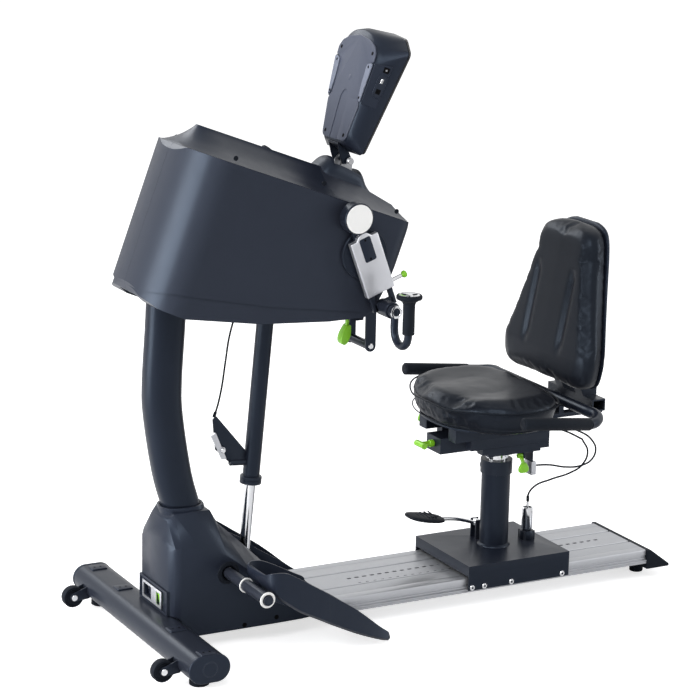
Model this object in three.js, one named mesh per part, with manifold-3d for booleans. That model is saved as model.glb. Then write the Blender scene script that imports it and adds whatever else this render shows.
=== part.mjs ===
// Arm ergometer with a sliding swivel seat.
// Millimetres, +Z up, +X from the cranking head towards the seat, the user's left side at -Y.
// Pieces are modelled from the rear cross bar, and the last group moves them so that the origin
// lies on the floor under the middle of the machine.
import * as THREE from 'three';
import { mergeVertices } from 'three/addons/utils/BufferGeometryUtils.js';
import Module from 'manifold-3d';

const wasm = await Module();
wasm.setup();

const gap = 0.3;        // running and seating gap between pieces
const overrun = 6;      // how far a cutting tool runs past what it cuts
const bite = 1;         // how far a welded piece runs into its neighbour
const left = -1;
const right = 1;
const sides = [left, right];
const rad = Math.PI / 180;

// Facet counts
const fineFacets = 22;
const roundFacets = 16;
const smallFacets = 12;
const pinFacets = 8;
const holeFacets = 6;
const bendSides = 10;
const cableSides = 8;
const cableSteps = 3;
const columnSteps = 7;
const collarSteps = 2;
const bendSteps = 20;
const hoopSteps = 20;
const barFacets = 10;
const cushionFacets = 24;

// Driving sizes of the base
const bar = { length: 720, width: 103, height: 66, axisZ: 57, wall: 3, capThick: 10, capPlug: 18,
  capLip: 1 };
const pad = { length: 34, width: 22, rise: 2.5, outerInset: 42, innerInset: 195 };
const foot = { radius: 24, inset: 60, studRadius: 5, studLength: 9, neckShare: 0.8 };
const wheel = { radius: 27, width: 21, clear: 6.5, inset: 82, z: 40, hub: 9, bore: 5.3, axle: 5, rim: 3 };
const fork = { thick: 4, height: 30, drop: 20 };
const frame = { width: 100, bottom: 38, height: 44, wall: 4, front: 330, tongue: 560 };
const shaft = { x: 168, z: 186, radius: 12, beyond: 22, plateInset: 16, plateThick: 8 };
const column = { halfX: 48, halfY: 38, wall: 4, above: 37, foot: 96, footX: 163, cornerShare: 2.4 };
const strut = {
  lowX: 257, lowZ: 190, highBack: 166, highDrop: 102, tubeRadius: 21, rodRadius: 13, collarRadius: 27,
  collarLength: 20, tubeLow: 182, eyeRadius: 17, eyeWidth: 26, pinRadius: 7, pinSlack: 4, rodInside: 140,
};
const release = {
  along: 250, rootHalf: 14, tipAlong: 345, tipOut: 118, tipHalf: 9, stubOut: 62, stubRadius: 8,
    plateHalf: 3,
  pinAlong: 270, pinOut: 88, pin: 3, boss: 8, leverThick: 8, leverHalf: 6, leverDown: 22, leverUp: 38,
};
const shroud = {
  rear: 18, length: 388, halfWidth: 100, top: 336, wall: 3, bottom: 36, columnSlack: 2.5, collarDrop: 24,
  collarRise: 9, holeDrop: 56, shaftSlack: 5, barSlack: 2,
};
const strutHole = { back: 26, front: 34, flareBack: 4, flareFront: 6, below: 22, above: 140, slack: 4 };
const inlet = { halfY: 82, clear: 1, tall: 61, socketUp: 30, rear: 13, face: 40, wall: 3 };
const socket = { y: 30, width: 44, height: 30, depth: 9 };
const rocker = { y: -34, width: 18, height: 28, reach: 4, depth: 12, pin: 2, swing: 1 };

// Driving sizes of the head, with places measured from the crank axis
const head = { tilt: 20 * rad, x: 480, z: 962 };
const casing = {
  rear: 490, nose: 113, low: 272, ridge: 163, border: 105, halfWidth: 170, inset: 4, wall: 4,
  rearRound: 75, noseRound: 42, seam: 108, seamGap: 0.4, strip: 60, stripStep: 12, stripLow: 92,
  crownShare: 1.7, bellyRear: 70, bellyFront: 62, bellySlack: 10, bellyDrop: 20,
};
const hump = {
  rear: -112, front: 44, low: 146, high: 197, half: 50, slotHalf: 37, slotRear: 78, slotFront: 4,
    slotLow: 100,
  slack: 2, gussetTop: 66,
};
const pivot = { back: 430, up: 3, pin: 12, boss: 24 };
const plate = { y: 42, thick: 6 };
const crank = {
  angle: 69.5 * rad, shaftRadius: 15, bearingRadius: 29, bearingHalf: 66, shaftInto: 5,
  pulleyRadius: 88, pulleyIn: 88, pulleyOut: 112, holeRadius: 27, collarRadius: 25, collarWidth: 12,
};
const fly = { back: 244, up: 68, radius: 112, rimIn: 52, rimOut: 82, pulleyRadius: 30, shaftRadius: 10,
  boss: 20 };
const belt = { thick: 3, inset: 3, seat: 0.4 };

// Driving sizes of one crank arm: steps and thicknesses run outwards from the casing's side
const arm = {
  clear: 2, discThick: 8, discRadius: 60, bodyThick: 7, bodyHalf: 35, neckHalf: 20, neckThick: 10,
  weightAt: 99, weightRadius: 38, weightStep: 2, weightThick: 30, bossRadius: 22,
};
const cover = { back: 46, front: 97, half: 38, rise: 17, wall: 3, arch: 14, archShare: 0.55 };
const crankFork = {
  at: 139, legY: 26, legWidth: 13, legStep: 2.5, legThick: 10, legBack: 54, hubRadius: 20, hubStep: 1,
  hubLength: 53, slack: 0.4, travel: 18,
};
const pullPin = { at: 84, radius: 3, knobRadius: 9, knobLength: 14, rodOut: 66, depth: 14 };
const handle = {
  spindle: 9, spindleStep: 3, ringRadius: 15.5, ringLength: 19.7, tubeRadius: 9.5, offset: 77, bottom: 76,
  gripRadius: 14.5, gripLow: 41, gripHigh: 34, flareRadius: 31, flareAt: 44, top: 56, dishRadius: 25,
  dishDepth: 7, slack: 0.9, bendShare: 0.6, rightLean: 49 * rad,
};

// Driving sizes of the grab handle and its lever, with places measured from the crank axis
const grab = {
  ahead: 90, topDrop: 181, barDrop: 262, halfY: 55, strapWidth: 28, strapThick: 6, barRadius: 11,
    gussetY: 20,
  gussetThick: 5,
};
const lever = { ahead: 58, drop: 198, y: 8, halfWidth: 19, thick: 9, length: 66, pin: 3, boss: 6, lug: 4 };

// Driving sizes of the console: its hinge is measured from the crank axis, and its body from the hinge
const hinge = { ahead: 32, up: 198, pin: 6, boss: 15, mastY: 14, mastThick: 6, bracketThick: 5,
  seatDrop: 0.5, boltHead: 10 };
const consoleBody = {
  backLowX: -30, backLowZ: 47, frontLowX: 9, frontLowZ: 22, lowHalf: 92,
  frontHighX: 120, frontHighZ: 276, backHighX: 40, backHighZ: 288, highHalf: 124, backHighHalf: 98,
  crownRise: 22, screenThick: 7, screenRim: 12, wall: 4, backLowHalf: 62,
  shoulderLowX: -16, shoulderLowZ: 38, shoulderHighX: 68, shoulderHighZ: 289,
};

// Driving sizes of the footrests
const footrest = {
  rear: 190, toe: 535, heelZ: 160, toeZ: 8, width: 154, outer: 300, toeInset: 38, thick: 5, heelWall: 92,
  toeWall: 22, lipInset: 110, tubeRadius: 18, tubeInset: 100,
};

// Driving sizes of the rail and its carriage, whose places are measured from the post's axis
const rail = {
  rear: 411, front: 1378, half: 131, low: 47, top: 83, wall: 4, groove: 48, grooveWidth: 6, grooveDepth: 3,
  holeRadius: 4, pitch: 22, holesFront: 10, holesRear: 24, ledge: 9, ledgeIn: 5,
};
const railCap = {
  length: 72, tip: 38, lip: 3, low: 31, footRadius: 20, footAhead: 24, footY: 52, plug: 20,
    shoulderAhead: 12,
  footTopShare: 0.9,
};
const post = {
  x: 981, bore: 30.5, wall: 7.5, top: 314, collarStep: 4, collarTop: 350, sliderSlack: 0.5, sliderWall: 8,
  sliderLow: 150,
};
const carriage = {
  rear: -155, front: 147, sideGap: 2.5, rise: 35, lift: 6, wall: 4, skirtGap: 7, glideInset: 6,
    glideWidth: 21,
  boltRise: 14, boltRadius: 6, boltHead: 3,
};
const pedal = {
  x: -15, y: 62, z: 158, rodRadius: 5, front: -131, frontZ: 184, rear: 65, rearZ: 143, paddleLength: 92,
  paddleHalf: 42, paddleThick: 13, bossRadius: 11, bossWidth: 20, lugThick: 4, lugHalf: 11, pin: 4,
    paddleRise: 19,
};
const lock = {
  x: 101, radius: 5, bodyRadius: 11, baseHalf: 16, baseHeight: 24, bodyTop: 202, reach: 18, stem: 3.2,
  clear: 0.6, shoulder: 113,
};

// Driving sizes of the seat, whose places along X are measured from the post's axis
const swivel = {
  plateZ: 384, plateThick: 8, hubRadius: 52, hubLow: 371, halfX: 78, halfY: 86, spigot: 70, bracketThick: 4,
  bracketY: 42, bracketHalf: 17, bracketLow: 311, slack: 0.8,
};
const lugSize = { reach: 7, thick: 5, half: 7, pin: 3, boss: 6.5 };
const beam = { front: -191, rear: 19, half: 35, high: 432, wall: 3 };
const slide = { y: 74, half: 13, mid: 406, high: 434, rear: 103, front: -97, upperFront: -131 };
const knob = { z: 413, stem: 7, reach: 38, inside: 30, barHalf: 21, barRadius: 8 };
const turnLever = { x: 21, y: 78, z: 375, stem: 5, out: 20, drop: 17, paddleHalf: 16, paddleThick: 12,
  paddleHeight: 23 };
const farLever = { x: -131, y: 148, z: 461, stem: 5, out: 12, drop: 16, paddleHalf: 13, paddleThick: 12,
  paddleHeight: 26 };
const pan = {
  front: -209, rear: 97, half: 168, thick: 5, top: 474, riserHalf: 18, riserFront: -181, riserRear: 89,
  armY: 82, armHalf: 13,
};
const cushion = { front: -232, rear: 100, half: 228, clear: 0.4, seam: 541, crown: 566, sag: 16,
  cornerShare: 3.2 };
const tail = {
  channelX: 238, channelHalf: 20, channelY: 106, low: 476, high: 508, wall: 4, uprightY: 46,
    uprightHalf: 18,
  kneeZ: 620, topZ: 760, midZ: 640, footZ: 560, tipThick: 12, relief: 3,
};
const back = { lowX: 117, lowZ: 551, highX: 182, highZ: 961, thick: 58, shellThick: 12, wideHalf: 204 };
const hoop = {
  radius: 14, gripRadius: 16, half: 297, frontX: -113, frontZ: 530, gripRearX: 81, bendX: 136, rearZ: 508,
  backZ: 515, cornerX: 131,
};
const cord = { radius: 2.4, back: 230, drop: 102, anchorRadius: 6 };

// Places that several pieces share
const pivotAt = { x: head.x - pivot.back, z: head.z + pivot.up };
const flyAt = { x: head.x - fly.back, z: head.z + fly.up };
const strutHigh = { x: head.x - strut.highBack, z: head.z - strut.highDrop };
const hingeAt = { x: head.x + hinge.ahead, z: head.z + hinge.up };
const grabAt = { x: head.x + grab.ahead, top: head.z - grab.topDrop, bar: head.z - grab.barDrop };
const leverAt = { x: head.x + lever.ahead, z: head.z - lever.drop };
const anchorAt = { x: head.x - cord.back, z: head.z - cord.drop };
const wheelAt = { x: -(bar.width / 2 + wheel.clear + wheel.radius), y: bar.length / 2 - wheel.inset };
const footY = bar.length / 2 - foot.inset;
const inletLow = bar.axisZ + bar.height / 2 + inlet.clear;
const inletHigh = inletLow + inlet.tall;
const socketZ = inletLow + inlet.socketUp;
const shaftReach = footrest.outer + shaft.beyond;
const fromPost = (offset) => post.x + offset;
const lockX = fromPost(lock.x);

// Reaches outwards from the machine's middle plane, one on the other from the casing's side
const discIn = casing.halfWidth + arm.clear;
const discOut = discIn + arm.discThick;
const bodyOut = discOut + arm.bodyThick;
const weightIn = discOut + arm.weightStep;
const neckOut = weightIn + arm.neckThick;
const weightOut = weightIn + arm.weightThick;
const coverOut = bodyOut + cover.rise;
const legIn = bodyOut + crankFork.legStep;
const legOut = legIn + crankFork.legThick;
const hubIn = discOut + crankFork.hubStep;
const hubOut = hubIn + crankFork.hubLength;
const ringIn = hubOut + gap;
const ringOut = ringIn + handle.ringLength;
const gripY = hubOut + handle.offset;
const shaftHalf = discIn + crank.shaftInto;

// Solid makers
function solidOf(geometry) {
  const bare = geometry.index ? geometry.toNonIndexed() : geometry;
  bare.deleteAttribute('normal');
  bare.deleteAttribute('uv');
  const merged = mergeVertices(bare, 1e-4);
  const mesh = new wasm.Mesh({
    numProp: 3,
    vertProperties: Float32Array.from(merged.attributes.position.array),
    triVerts: Uint32Array.from(merged.index.array),
  });
  return new wasm.Manifold(mesh);
}

function geometryOf(solid) {
  const mesh = solid.getMesh();
  const geometry = new THREE.BufferGeometry();
  geometry.setAttribute('position', new THREE.BufferAttribute(Float32Array.from(mesh.vertProperties), 3));
  geometry.setIndex(new THREE.BufferAttribute(Uint32Array.from(mesh.triVerts), 1));
  geometry.computeVertexNormals();
  return geometry;
}

function join(...solids) {
  return solids.reduce((sum, next) => sum.add(next));
}

function cut(solid, ...tools) {
  return tools.reduce((rest, tool) => rest.subtract(tool), solid);
}

function box(x0, x1, y0, y1, z0, z1) {
  const lowX = Math.min(x0, x1);
  const lowY = Math.min(y0, y1);
  const lowZ = Math.min(z0, z1);
  const geometry = new THREE.BoxGeometry(Math.abs(x1 - x0), Math.abs(y1 - y0), Math.abs(z1 - z0));
  geometry.translate(lowX + Math.abs(x1 - x0) / 2, lowY + Math.abs(y1 - y0) / 2,
    lowZ + Math.abs(z1 - z0) / 2);
  return solidOf(geometry);
}

// A round bar, or a cone when endRadius differs, from one point to another
function rod(from, to, radius, facets = roundFacets, endRadius = radius) {
  const start = new THREE.Vector3(...from);
  const end = new THREE.Vector3(...to);
  const along = end.clone().sub(start);
  const geometry = new THREE.CylinderGeometry(endRadius, radius, along.length(), facets);
  const turn = new THREE.Quaternion().setFromUnitVectors(new THREE.Vector3(0, 1, 0),
    along.clone().normalize());
  geometry.applyQuaternion(turn);
  geometry.translate(...start.add(end).multiplyScalar(1 / 2).toArray());
  return solidOf(geometry);
}

function acrossRod(x, z, radius, y0, y1, facets = roundFacets) {
  return rod([x, y0, z], [x, y1, z], radius, facets);
}

function shapeOf(points) {
  return new THREE.Shape(points.map(([u, v]) => new THREE.Vector2(u, v)));
}

// An outline in X and Z, extruded across the machine
function sidePrism(points, y0, y1) {
  const depth = Math.abs(y1 - y0);
  const geometry = new THREE.ExtrudeGeometry(shapeOf(points), { depth, bevelEnabled: false });
  geometry.rotateX(Math.PI / 2);
  geometry.translate(0, Math.max(y0, y1), 0);
  return solidOf(geometry);
}

// An outline in Y and Z, extruded along the machine
function endPrism(points, x0, x1) {
  const geometry = new THREE.ExtrudeGeometry(shapeOf(points), { depth: Math.abs(x1 - x0),
    bevelEnabled: false });
  geometry.applyMatrix4(new THREE.Matrix4().set(0, 0, 1, 0, 1, 0, 0, 0, 0, 1, 0, 0, 0, 0, 0, 1));
  geometry.translate(Math.min(x0, x1), 0, 0);
  return solidOf(geometry);
}

// An outline in X and Y, extruded upwards
function planPrism(points, z0, z1) {
  const geometry = new THREE.ExtrudeGeometry(shapeOf(points), { depth: Math.abs(z1 - z0),
    bevelEnabled: false });
  geometry.translate(0, 0, Math.min(z0, z1));
  return solidOf(geometry);
}

function circlePoints(radius, facets) {
  return Array.from({ length: facets }, (_, i) => {
    const turn = (i / facets) * 2 * Math.PI;
    return [radius * Math.cos(turn), radius * Math.sin(turn)];
  });
}

function ovalPoints(halfU, halfV, facets, power = 2, centreU = 0, centreV = 0) {
  return Array.from({ length: facets }, (_, i) => {
    const turn = (i / facets) * 2 * Math.PI;
    const c = Math.cos(turn);
    const s = Math.sin(turn);
    const u = Math.sign(c) * Math.abs(c) ** (2 / power);
    const v = Math.sign(s) * Math.abs(s) ** (2 / power);
    return [centreU + halfU * u, centreV + halfV * v];
  });
}

// A bar of any section along a smooth curve through the points
function sweep(points, section, steps) {
  const path = new THREE.CatmullRomCurve3(points.map((p) => new THREE.Vector3(...p)), false, 'centripetal');
  const shape = shapeOf(section);
  return solidOf(new THREE.ExtrudeGeometry(shape, { steps, extrudePath: path, bevelEnabled: false }));
}

// A closed body through rings that have the same number of points
function loft(rings) {
  const count = rings[0].length;
  const positions = rings.flat(2);
  const middle = (ring) => [0, 1, 2].map((axis) => ring.reduce((sum, p) => sum + p[axis], 0) / count);
  const startIndex = rings.length * count;
  positions.push(...middle(rings[0]), ...middle(rings[rings.length - 1]));
  const faces = [];
  for (let i = 0; i < rings.length - 1; i += 1) {
    for (let j = 0; j < count; j += 1) {
      const a = i * count + j;
      const b = i * count + ((j + 1) % count);
      faces.push(a, b, b + count, a, b + count, a + count);
    }
  }
  const lastRing = (rings.length - 1) * count;
  for (let j = 0; j < count; j += 1) {
    const next = (j + 1) % count;
    faces.push(startIndex, next, j, startIndex + 1, lastRing + j, lastRing + next);
  }
  const geometry = new THREE.BufferGeometry();
  geometry.setAttribute('position', new THREE.Float32BufferAttribute(positions, 3));
  const at = (index) => new THREE.Vector3().fromArray(positions, index * 3);
  let volume = 0;
  for (let i = 0; i < faces.length; i += 3) {
    volume += at(faces[i]).dot(at(faces[i + 1]).cross(at(faces[i + 2])));
  }
  if (volume < 0) faces.reverse();
  geometry.setIndex(faces);
  return solidOf(geometry);
}

// A turned body about a line across the machine: profile pairs are radius and reach along Y
function turnedAcross(profile, x, z, side, facets = roundFacets) {
  const geometry = new THREE.LatheGeometry(profile.map(([r, y]) => new THREE.Vector2(r, y)), facets);
  if (side < 0) geometry.rotateZ(Math.PI);
  geometry.translate(x, 0, z);
  return outward(geometry);
}

// A turned body about an upright line: profile pairs are radius and height
function turnedUp(profile, x, y, facets = roundFacets) {
  const geometry = new THREE.LatheGeometry(profile.map(([r, h]) => new THREE.Vector2(r, h)), facets);
  geometry.rotateX(Math.PI / 2);
  geometry.translate(x, y, 0);
  return outward(geometry);
}

function outward(geometry) {
  const flat = geometry.toNonIndexed().attributes.position;
  let volume = 0;
  const at = (index) => new THREE.Vector3().fromBufferAttribute(flat, index);
  for (let i = 0; i < flat.count; i += 3) volume += at(i).dot(at(i + 1).cross(at(i + 2)));
  if (volume < 0) geometry.setIndex(Array.from(geometry.index.array).reverse());
  return solidOf(geometry);
}

// A smooth run of a size between table rows, where each row starts with its place
function between(rows, place, cell) {
  const index = rows.findIndex((row) => row[0] >= place);
  if (index <= 0) return rows[index === 0 ? 0 : rows.length - 1][cell];
  const [before, after] = [rows[index - 1], rows[index]];
  const share = (place - before[0]) / (after[0] - before[0]);
  return before[cell] + (after[cell] - before[cell]) * share;
}

const looks = {
  black: { color: 0x1b1d22, roughness: 0.5, metalness: 0.1 },
  softBlack: { color: 0x141518, roughness: 0.75, metalness: 0 },
  vinyl: { color: 0x17191e, roughness: 0.6, metalness: 0 },
  silver: { color: 0xc9ccd0, roughness: 0.35, metalness: 0.9 },
  aluminium: { color: 0xd2d4d6, roughness: 0.4, metalness: 0.85 },
  chrome: { color: 0xdfe2e5, roughness: 0.12, metalness: 1 },
  steel: { color: 0x9a9da1, roughness: 0.4, metalness: 0.8 },
  green: { color: 0x7ac41f, roughness: 0.4, metalness: 0 },
  grey: { color: 0x6f7787, roughness: 0.55, metalness: 0.1 },
  screen: { color: 0x08090b, roughness: 0.1, metalness: 0 },
};

const machine = new THREE.Group();

function addPiece(name, solid, look, parent = machine) {
  const mesh = new THREE.Mesh(geometryOf(solid), new THREE.MeshStandardMaterial(look));
  mesh.name = name;
  parent.add(mesh);
  return mesh;
}

// Foot bar with its wheel forks and pads
const barHalf = bar.length / 2;
const tubeHalf = barHalf - bar.capThick;

function stadium(width, height, centreZ) {
  const flat = (width - height) / 2;
  const arc = Array.from({ length: barFacets + 1 }, (_, i) => {
    const turn = Math.PI * (i / barFacets) - Math.PI / 2;
    return [flat + (height / 2) * Math.cos(turn), centreZ + (height / 2) * Math.sin(turn)];
  });
  return [...arc, ...arc.map(([x, z]) => [-x, 2 * centreZ - z])];
}

function footBar() {
  const outer = sidePrism(stadium(bar.width, bar.height, bar.axisZ), -tubeHalf, tubeHalf);
  const innerWidth = bar.width - 2 * bar.wall;
  const innerHeight = bar.height - 2 * bar.wall;
  const inner = sidePrism(stadium(innerWidth, innerHeight, bar.axisZ), -tubeHalf - overrun,
    tubeHalf + overrun);
  const top = bar.axisZ + bar.height / 2;
  const forkRoot = -bar.width / 2 + bar.height / 4;
  const forks = [];
  const pads = [];
  for (const side of sides) {
    for (const [inside, outside] of [
      [wheelAt.y - wheel.width / 2 - fork.thick - gap, wheelAt.y - wheel.width / 2 - gap],
      [wheelAt.y + wheel.width / 2 + gap, wheelAt.y + wheel.width / 2 + gap + fork.thick],
    ]) {
      const outline = [
        [forkRoot, bar.axisZ - fork.drop], [forkRoot, bar.axisZ + fork.height - fork.drop],
        [wheelAt.x, wheel.z + fork.height / 3], [wheelAt.x - fork.height / 3, wheel.z],
        [wheelAt.x, wheel.z - fork.height / 3],
      ];
      forks.push(sidePrism(outline.reverse(), side * inside, side * outside));
    }
    const reach = wheel.width / 2 + gap + fork.thick;
    forks.push(acrossRod(wheelAt.x, wheel.z, wheel.axle, side * (wheelAt.y - reach),
      side * (wheelAt.y + reach), pinFacets));
    for (const y of [barHalf - pad.outerInset, barHalf - pad.innerInset]) {
      pads.push(box(-pad.width / 2, pad.width / 2, side * y - pad.length / 2, side * y + pad.length / 2,
        top - bar.wall / 2, top + pad.rise));
    }
  }
  const studHoles = sides.map((side) => rod([0, side * footY, 0], [0, side * footY, bar.axisZ],
    foot.studRadius + gap));
  return cut(join(outer, ...forks, ...pads), inner, ...studHoles);
}

function barCap(side) {
  const face = sidePrism(stadium(bar.width + 2 * bar.capLip, bar.height + 2 * bar.capLip, bar.axisZ),
    side * (tubeHalf + gap), side * barHalf);
  const plugWidth = bar.width - 2 * bar.wall - 2 * gap;
  const plugHeight = bar.height - 2 * bar.wall - 2 * gap;
  const plug = sidePrism(stadium(plugWidth, plugHeight, bar.axisZ), side * (tubeHalf - bar.capPlug),
    side * (tubeHalf + bar.wall));
  return join(face, plug);
}

function rubberFoot(side) {
  const top = bar.axisZ - bar.height / 2 - gap;
  const profile = [
    [0, 0], [foot.radius, 0], [foot.radius, top / 3], [foot.radius * foot.neckShare, top],
    [foot.studRadius, top],
    [foot.studRadius, top + foot.studLength], [0, top + foot.studLength],
  ];
  return turnedUp(profile, 0, side * footY, roundFacets);
}

function transportWheel(side) {
  const half = wheel.width / 2;
  const profile = [
    [wheel.bore, wheelAt.y - half], [wheel.hub, wheelAt.y - half], [wheel.hub + wheel.rim,
    wheelAt.y - half + wheel.rim],
    [wheel.radius - 2 * wheel.rim, wheelAt.y - half + wheel.rim], [wheel.radius - wheel.rim,
    wheelAt.y - half],
    [wheel.radius, wheelAt.y - half + wheel.rim], [wheel.radius, wheelAt.y + half - wheel.rim],
    [wheel.radius - wheel.rim, wheelAt.y + half], [wheel.radius - 2 * wheel.rim,
    wheelAt.y + half - wheel.rim],
    [wheel.hub + wheel.rim, wheelAt.y + half - wheel.rim], [wheel.hub, wheelAt.y + half], [wheel.bore,
    wheelAt.y + half],
    [wheel.bore, wheelAt.y - half],
  ];
  return turnedAcross(profile, wheelAt.x, wheel.z, side);
}

addPiece('foot_bar', footBar(), looks.black);
for (const side of sides) {
  const word = side === left ? 'left' : 'right';
  addPiece(`foot_bar_cap_${word}`, barCap(side), looks.softBlack);
  addPiece(`rubber_foot_${word}`, rubberFoot(side), looks.softBlack);
  addPiece(`transport_wheel_${word}`, transportWheel(side), looks.softBlack);
}

// Column: a bent oval tube, foot on the base frame, top between the head's side plates
const columnTop = pivotAt.z + column.above;
const columnBowShares = [
  [0, 1], [0.148, 0.593], [0.263, 0.327], [0.364, 0.097], [0.521, -0.106], [0.617, -0.133], [0.79, -0.053],
  [1, 0],
];

function columnAt(z) {
  const share = (z - column.foot) / (columnTop - column.foot);
  return pivotAt.x + (column.footX - pivotAt.x) * between(columnBowShares, share, 1);
}

function columnRings(grow, from, to, steps = columnSteps) {
  const rings = [];
  for (let i = 0; i <= steps; i += 1) {
    const z = from + ((to - from) * i) / steps;
    const ring = ovalPoints(column.halfX + grow, column.halfY + grow, roundFacets, column.cornerShare,
      columnAt(z));
    rings.push(ring.map(([x, y]) => [x, y, z]));
  }
  return rings;
}

function columnTube() {
  const outer = loft(columnRings(0, column.foot, columnTop));
  const inner = loft(columnRings(-column.wall, column.foot - overrun, columnTop + overrun));
  const boss = acrossRod(pivotAt.x, pivotAt.z, pivot.boss, -column.halfY + bite, column.halfY - bite);
  const bore = acrossRod(pivotAt.x, pivotAt.z, pivot.pin + gap, -column.halfY - overrun,
    column.halfY + overrun);
  return cut(join(cut(outer, inner), boss), bore);
}

addPiece('column', columnTube(), looks.black);

// Base frame: box beam, column seat, strut ears and footrest stubs
const frameTop = frame.bottom + frame.height;
const barFront = bar.width / 2 + gap;

function baseFrame() {
  const beamBody = box(barFront, frame.front, -frame.width / 2, frame.width / 2, frame.bottom, frameTop);
  const hollow = box(barFront - overrun, frame.front - frame.wall, -frame.width / 2 + frame.wall,
    frame.width / 2 - frame.wall, frame.bottom + frame.wall, frameTop - frame.wall);
  const tongue = box(frame.front - frame.wall, frame.tongue, -frame.width / 2, frame.width / 2,
    frame.bottom, rail.low - gap);
  const seatRing = ovalPoints(column.halfX + frame.wall * 2, column.halfY + frame.wall * 2, roundFacets,
    column.cornerShare, columnAt(frameTop));
  const seat = loft([frameTop - frame.wall / 2, column.foot - gap].map((z) => seatRing.map(([x, y]) => [x,
    y, z])));
  const pieces = [seat, tongue];
  for (const side of sides) {
    const earIn = side * (strut.eyeWidth / 2 + bite);
    const earOut = side * (strut.eyeWidth / 2 + bite + frame.wall * 2);
    const ear = [
      [strut.lowX - strut.eyeRadius * 2, frameTop - bite], [strut.lowX + strut.eyeRadius * 2,
      frameTop - bite],
      [strut.lowX + strut.eyeRadius, strut.lowZ + strut.eyeRadius / 2],
      [strut.lowX + strut.eyeRadius / 2, strut.lowZ + strut.eyeRadius],
      [strut.lowX - strut.eyeRadius / 2, strut.lowZ + strut.eyeRadius],
      [strut.lowX - strut.eyeRadius, strut.lowZ + strut.eyeRadius / 2],
    ];
    pieces.push(sidePrism(ear, earIn, earOut));
    const web = [
      [shaft.x - shaft.radius * 4, frameTop - frame.wall * 3], [shaft.x + shaft.radius * 4,
      frameTop - frame.wall * 3],
      [shaft.x + shaft.radius * 1.6, shaft.z + shaft.radius], [shaft.x, shaft.z + shaft.radius * 1.8],
      [shaft.x - shaft.radius * 1.6, shaft.z + shaft.radius],
    ];
    const webOut = side * (shroud.halfWidth - shaft.plateInset);
    const webIn = webOut - side * shaft.plateThick;
    pieces.push(sidePrism(web, webIn, webOut));
    const bridge = box(shaft.x - shaft.radius * 4, shaft.x + shaft.radius * 4,
      side * (frame.width / 2 - bite), webIn + side * bite,
      frameTop - frame.wall * 3, frameTop - frame.wall);
    pieces.push(bridge);
    pieces.push(acrossRod(shaft.x, shaft.z, shaft.radius, webIn + side * bite, side * shaftReach,
      smallFacets));
  }
  const pin = acrossRod(strut.lowX, strut.lowZ, strut.pinRadius, -strut.eyeWidth / 2 - frame.wall * 3,
    strut.eyeWidth / 2 + frame.wall * 3, pinFacets);
  return join(cut(beamBody, hollow), ...pieces, pin);
}

addPiece('base_frame', baseFrame(), looks.black);

// Base shroud: rows of place along, half width, crease height, top height and half width of the top
const shroudShares = [
  [0, 0.78, 0.744, 0.821, 0.34], [0.031, 0.95, 0.78, 0.946, 0.46], [0.072, 1, 0.786, 0.994, 0.52],
  [0.191, 1, 0.768, 1, 0.54], [0.314, 1, 0.729, 0.994, 0.5], [0.376, 1, 0.685, 0.881, 0.42],
  [0.546, 1, 0.536, 0.702, 0.38], [0.729, 1, 0.381, 0.497, 0.36], [0.912, 0.98, 0.25, 0.31, 0.38],
  [1, 0.92, 0.185, 0.214, 0.44],
];

function shroudSolid(wall) {
  const rings = shroudShares.map(([along, halfShare, creaseShare, topShare, topHalfShare], row) => {
    const shift = row === 0 ? wall : row === shroudShares.length - 1 ? -wall : 0;
    const x = shroud.rear + shroud.length * along;
    const crease = shroud.top * creaseShare;
    const top = shroud.top * topShare;
    const h = shroud.halfWidth * halfShare - wall;
    const t = shroud.halfWidth * topHalfShare - wall / 2;
    const low = wall > 0 ? shroud.bottom - overrun : shroud.bottom;
    return [
      [x + shift, -h, low], [x + shift, h, low], [x + shift, h, crease - wall / 2], [x + shift, t,
      top - wall],
      [x + shift, -t, top - wall], [x + shift, -h, crease - wall / 2],
    ];
  });
  return loft(rings);
}

function baseShroud() {
  const shell = cut(shroudSolid(0), shroudSolid(shroud.wall));
  const collarTop = shroud.top + shroud.collarRise;
  const collar = loft(columnRings(shroud.columnSlack + shroud.wall * 2, shroud.top - shroud.collarDrop,
    collarTop,
    collarSteps));
  const columnHole = loft(columnRings(shroud.columnSlack, shroud.top - shroud.holeDrop, collarTop + overrun,
    collarSteps));
  const slotReach = strut.collarRadius + strutHole.slack;
  const strutSlot = sidePrism([
    [strut.lowX - strutHole.back, strut.lowZ - strutHole.below],
    [strut.lowX + strutHole.front, strut.lowZ - strutHole.below],
    [strut.lowX + strutHole.front + strutHole.flareFront, strut.lowZ + strutHole.above],
    [strut.lowX - strutHole.back - strutHole.flareBack, strut.lowZ + strutHole.above],
  ], -slotReach, slotReach);
  const shaftHoles = acrossRod(shaft.x, shaft.z, shaft.radius + shroud.shaftSlack, -shaftReach, shaftReach);
  const barCut = sidePrism(stadium(bar.width + 2 * shroud.barSlack, bar.height + 2 * shroud.barSlack,
    bar.axisZ),
    -barHalf, barHalf);
  const window = box(-overrun, inlet.face, -inlet.halfY - gap, inlet.halfY + gap, inletLow - gap,
    inletHigh + gap);
  const tongueSlot = box(frame.front, frame.tongue, -frame.width / 2 - gap, frame.width / 2 + gap,
    frame.bottom - overrun, rail.low);
  return cut(join(shell, collar), columnHole, strutSlot, shaftHoles, barCut, window, tongueSlot);
}

addPiece('base_shroud', baseShroud(), looks.black);

// Mains inlet housing with its socket, and the rocker switch
const inletFront = inlet.rear + inlet.wall;

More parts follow.
